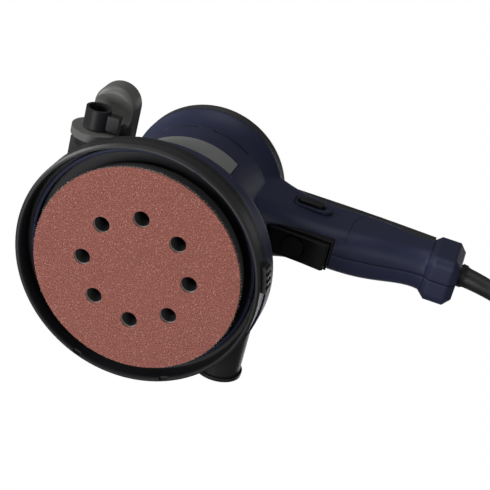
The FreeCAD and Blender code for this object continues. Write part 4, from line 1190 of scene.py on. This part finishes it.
@dataclass(frozen=True)
class Lamp:
    """A soft rectangular light that looks at a point."""

    name: str
    place: tuple[float, float, float]
    target: tuple[float, float, float]
    width: float
    power: float
    colour: Colour = (1.0, 1.0, 1.0)

    def build(self) -> None:
        """Adds the light."""
        data = bpy.data.lights.new(self.name, "AREA")
        data.size = self.width
        data.energy = self.power
        data.color = self.colour
        lamp = bpy.data.objects.new(self.name, data)
        lamp.location = self.place
        lamp.rotation_mode = "QUATERNION"
        way = Vector(self.target) - Vector(self.place)
        lamp.rotation_quaternion = way.to_track_quat("-Z", "Y")
        bpy.context.scene.collection.objects.link(lamp)


@dataclass
class Studio:
    """The floor, the lights and the camera."""

    azimuth: float = 17.6
    elevation: float = -61.87
    target: tuple[float, float, float] = (49.57, -7.98, 60.0)
    distance: float = 784.5
    roll: float = 34.65
    lens: float = 95.5
    sensor_width: float = 36.0
    nearest: float = 0.01
    floor_drop: float = 0.4
    floor_reach: float = 3.0
    ambient: float = 0.12
    lamps: tuple[Lamp, ...] = (
        Lamp("key", (-0.33, -0.03, -1.20), (0.05, 0.0, 0.06), 0.6, 12.0),
        Lamp("side", (-1.2, -0.45, -0.25), (0.0, 0.0, 0.06), 0.6, 15.0),
        Lamp("left", (-0.2, -1.2, 0.1), (0.03, 0.0, 0.08), 0.8, 5.0),
        Lamp("tail", (0.9, -0.3, -0.9), (0.12, 0.0, 0.1), 0.5, 3.0),
        Lamp("overhead", (0.3, 0.7, 1.5), (0.05, 0.0, 0.06), 1.3, 8.0),
    )

    def floor(self) -> None:
        """Lays a pale floor that shows only from above."""
        form = bmesh.new()
        bmesh.ops.create_grid(form, x_segments=1, y_segments=1, size=self.floor_reach)
        bmesh.ops.translate(form, verts=form.verts, vec=(0.0, 0.0, -self.floor_drop * MM))
        mesh = bpy.data.meshes.new("floor")
        form.to_mesh(mesh)
        form.free()
        plane = bpy.data.objects.new("floor", mesh)
        shader = Shader("floor_paint")
        clear = shader.node("ShaderNodeBsdfTransparent", {}, {})
        behind = shader.node("ShaderNodeNewGeometry", {}, {}, "Backfacing")
        solid = Socket(shader, shader.surface.outputs[0])
        shown = shader.node("ShaderNodeMixShader", {}, {0: behind, 1: solid, 2: clear})
        shader.fill(shader.output.inputs["Surface"], shown)
        mesh.materials.append(shader.finish(Base_Color=(0.86, 0.86, 0.86), Roughness=0.9))
        plane.visible_shadow = False
        plane.visible_diffuse = False
        plane.visible_glossy = False
        plane.visible_transmission = False
        bpy.context.scene.collection.objects.link(plane)

    def sky(self) -> None:
        """Sets a plain white surround."""
        world = bpy.data.worlds.new("surround")
        world.use_nodes = True
        tree = world.node_tree
        paint = tree.nodes["Background"]
        paint.inputs["Color"].default_value = (1.0, 1.0, 1.0, 1.0)
        path = tree.nodes.new("ShaderNodeLightPath")
        strength = tree.nodes.new("ShaderNodeMapRange")
        strength.inputs["To Min"].default_value = self.ambient
        strength.inputs["To Max"].default_value = 1.0
        tree.links.new(path.outputs["Is Camera Ray"], strength.inputs["Value"])
        tree.links.new(strength.outputs[0], paint.inputs["Strength"])
        bpy.context.scene.world = world
        bpy.context.scene.view_settings.view_transform = "Standard"

    def camera(self) -> None:
        """Sets the camera at its viewing angle."""
        side, rise = math.radians(self.azimuth), math.radians(self.elevation)
        back = Vector((math.sin(side) * math.cos(rise), -math.cos(side) * math.cos(rise),
                       math.sin(rise)))
        data = bpy.data.cameras.new("camera")
        data.lens = self.lens
        data.sensor_width = self.sensor_width
        data.clip_start = self.nearest
        data.dof.use_dof = False
        camera = bpy.data.objects.new("camera", data)
        camera.location = Vector(self.target) * MM + back * self.distance * MM
        camera.rotation_mode = "QUATERNION"
        camera.rotation_quaternion = ((-back).to_track_quat("-Z", "Y")
                                      @ Quaternion((0, 0, 1), math.radians(self.roll)))
        bpy.context.scene.collection.objects.link(camera)
        bpy.context.scene.camera = camera

    def build(self) -> None:
        """Sets up the whole studio."""
        self.floor()
        self.sky()
        self.camera()
        for lamp in self.lamps:
            lamp.build()


def main() -> None:
    """Builds the sander round its frame."""
    logging.basicConfig(level=logging.INFO, format="%(name)s: %(message)s")
    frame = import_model()
    shop = Workshop(frame)
    Studio().build()
    for assembly in (MainsLead(shop), Sole(shop), Housing(shop), Controls(shop), SideGrip(shop),
                     Drive(shop)):
        assembly.build()
        LOG.info("%s is built", type(assembly).__name__)


if __name__ == "__main__":
    main()
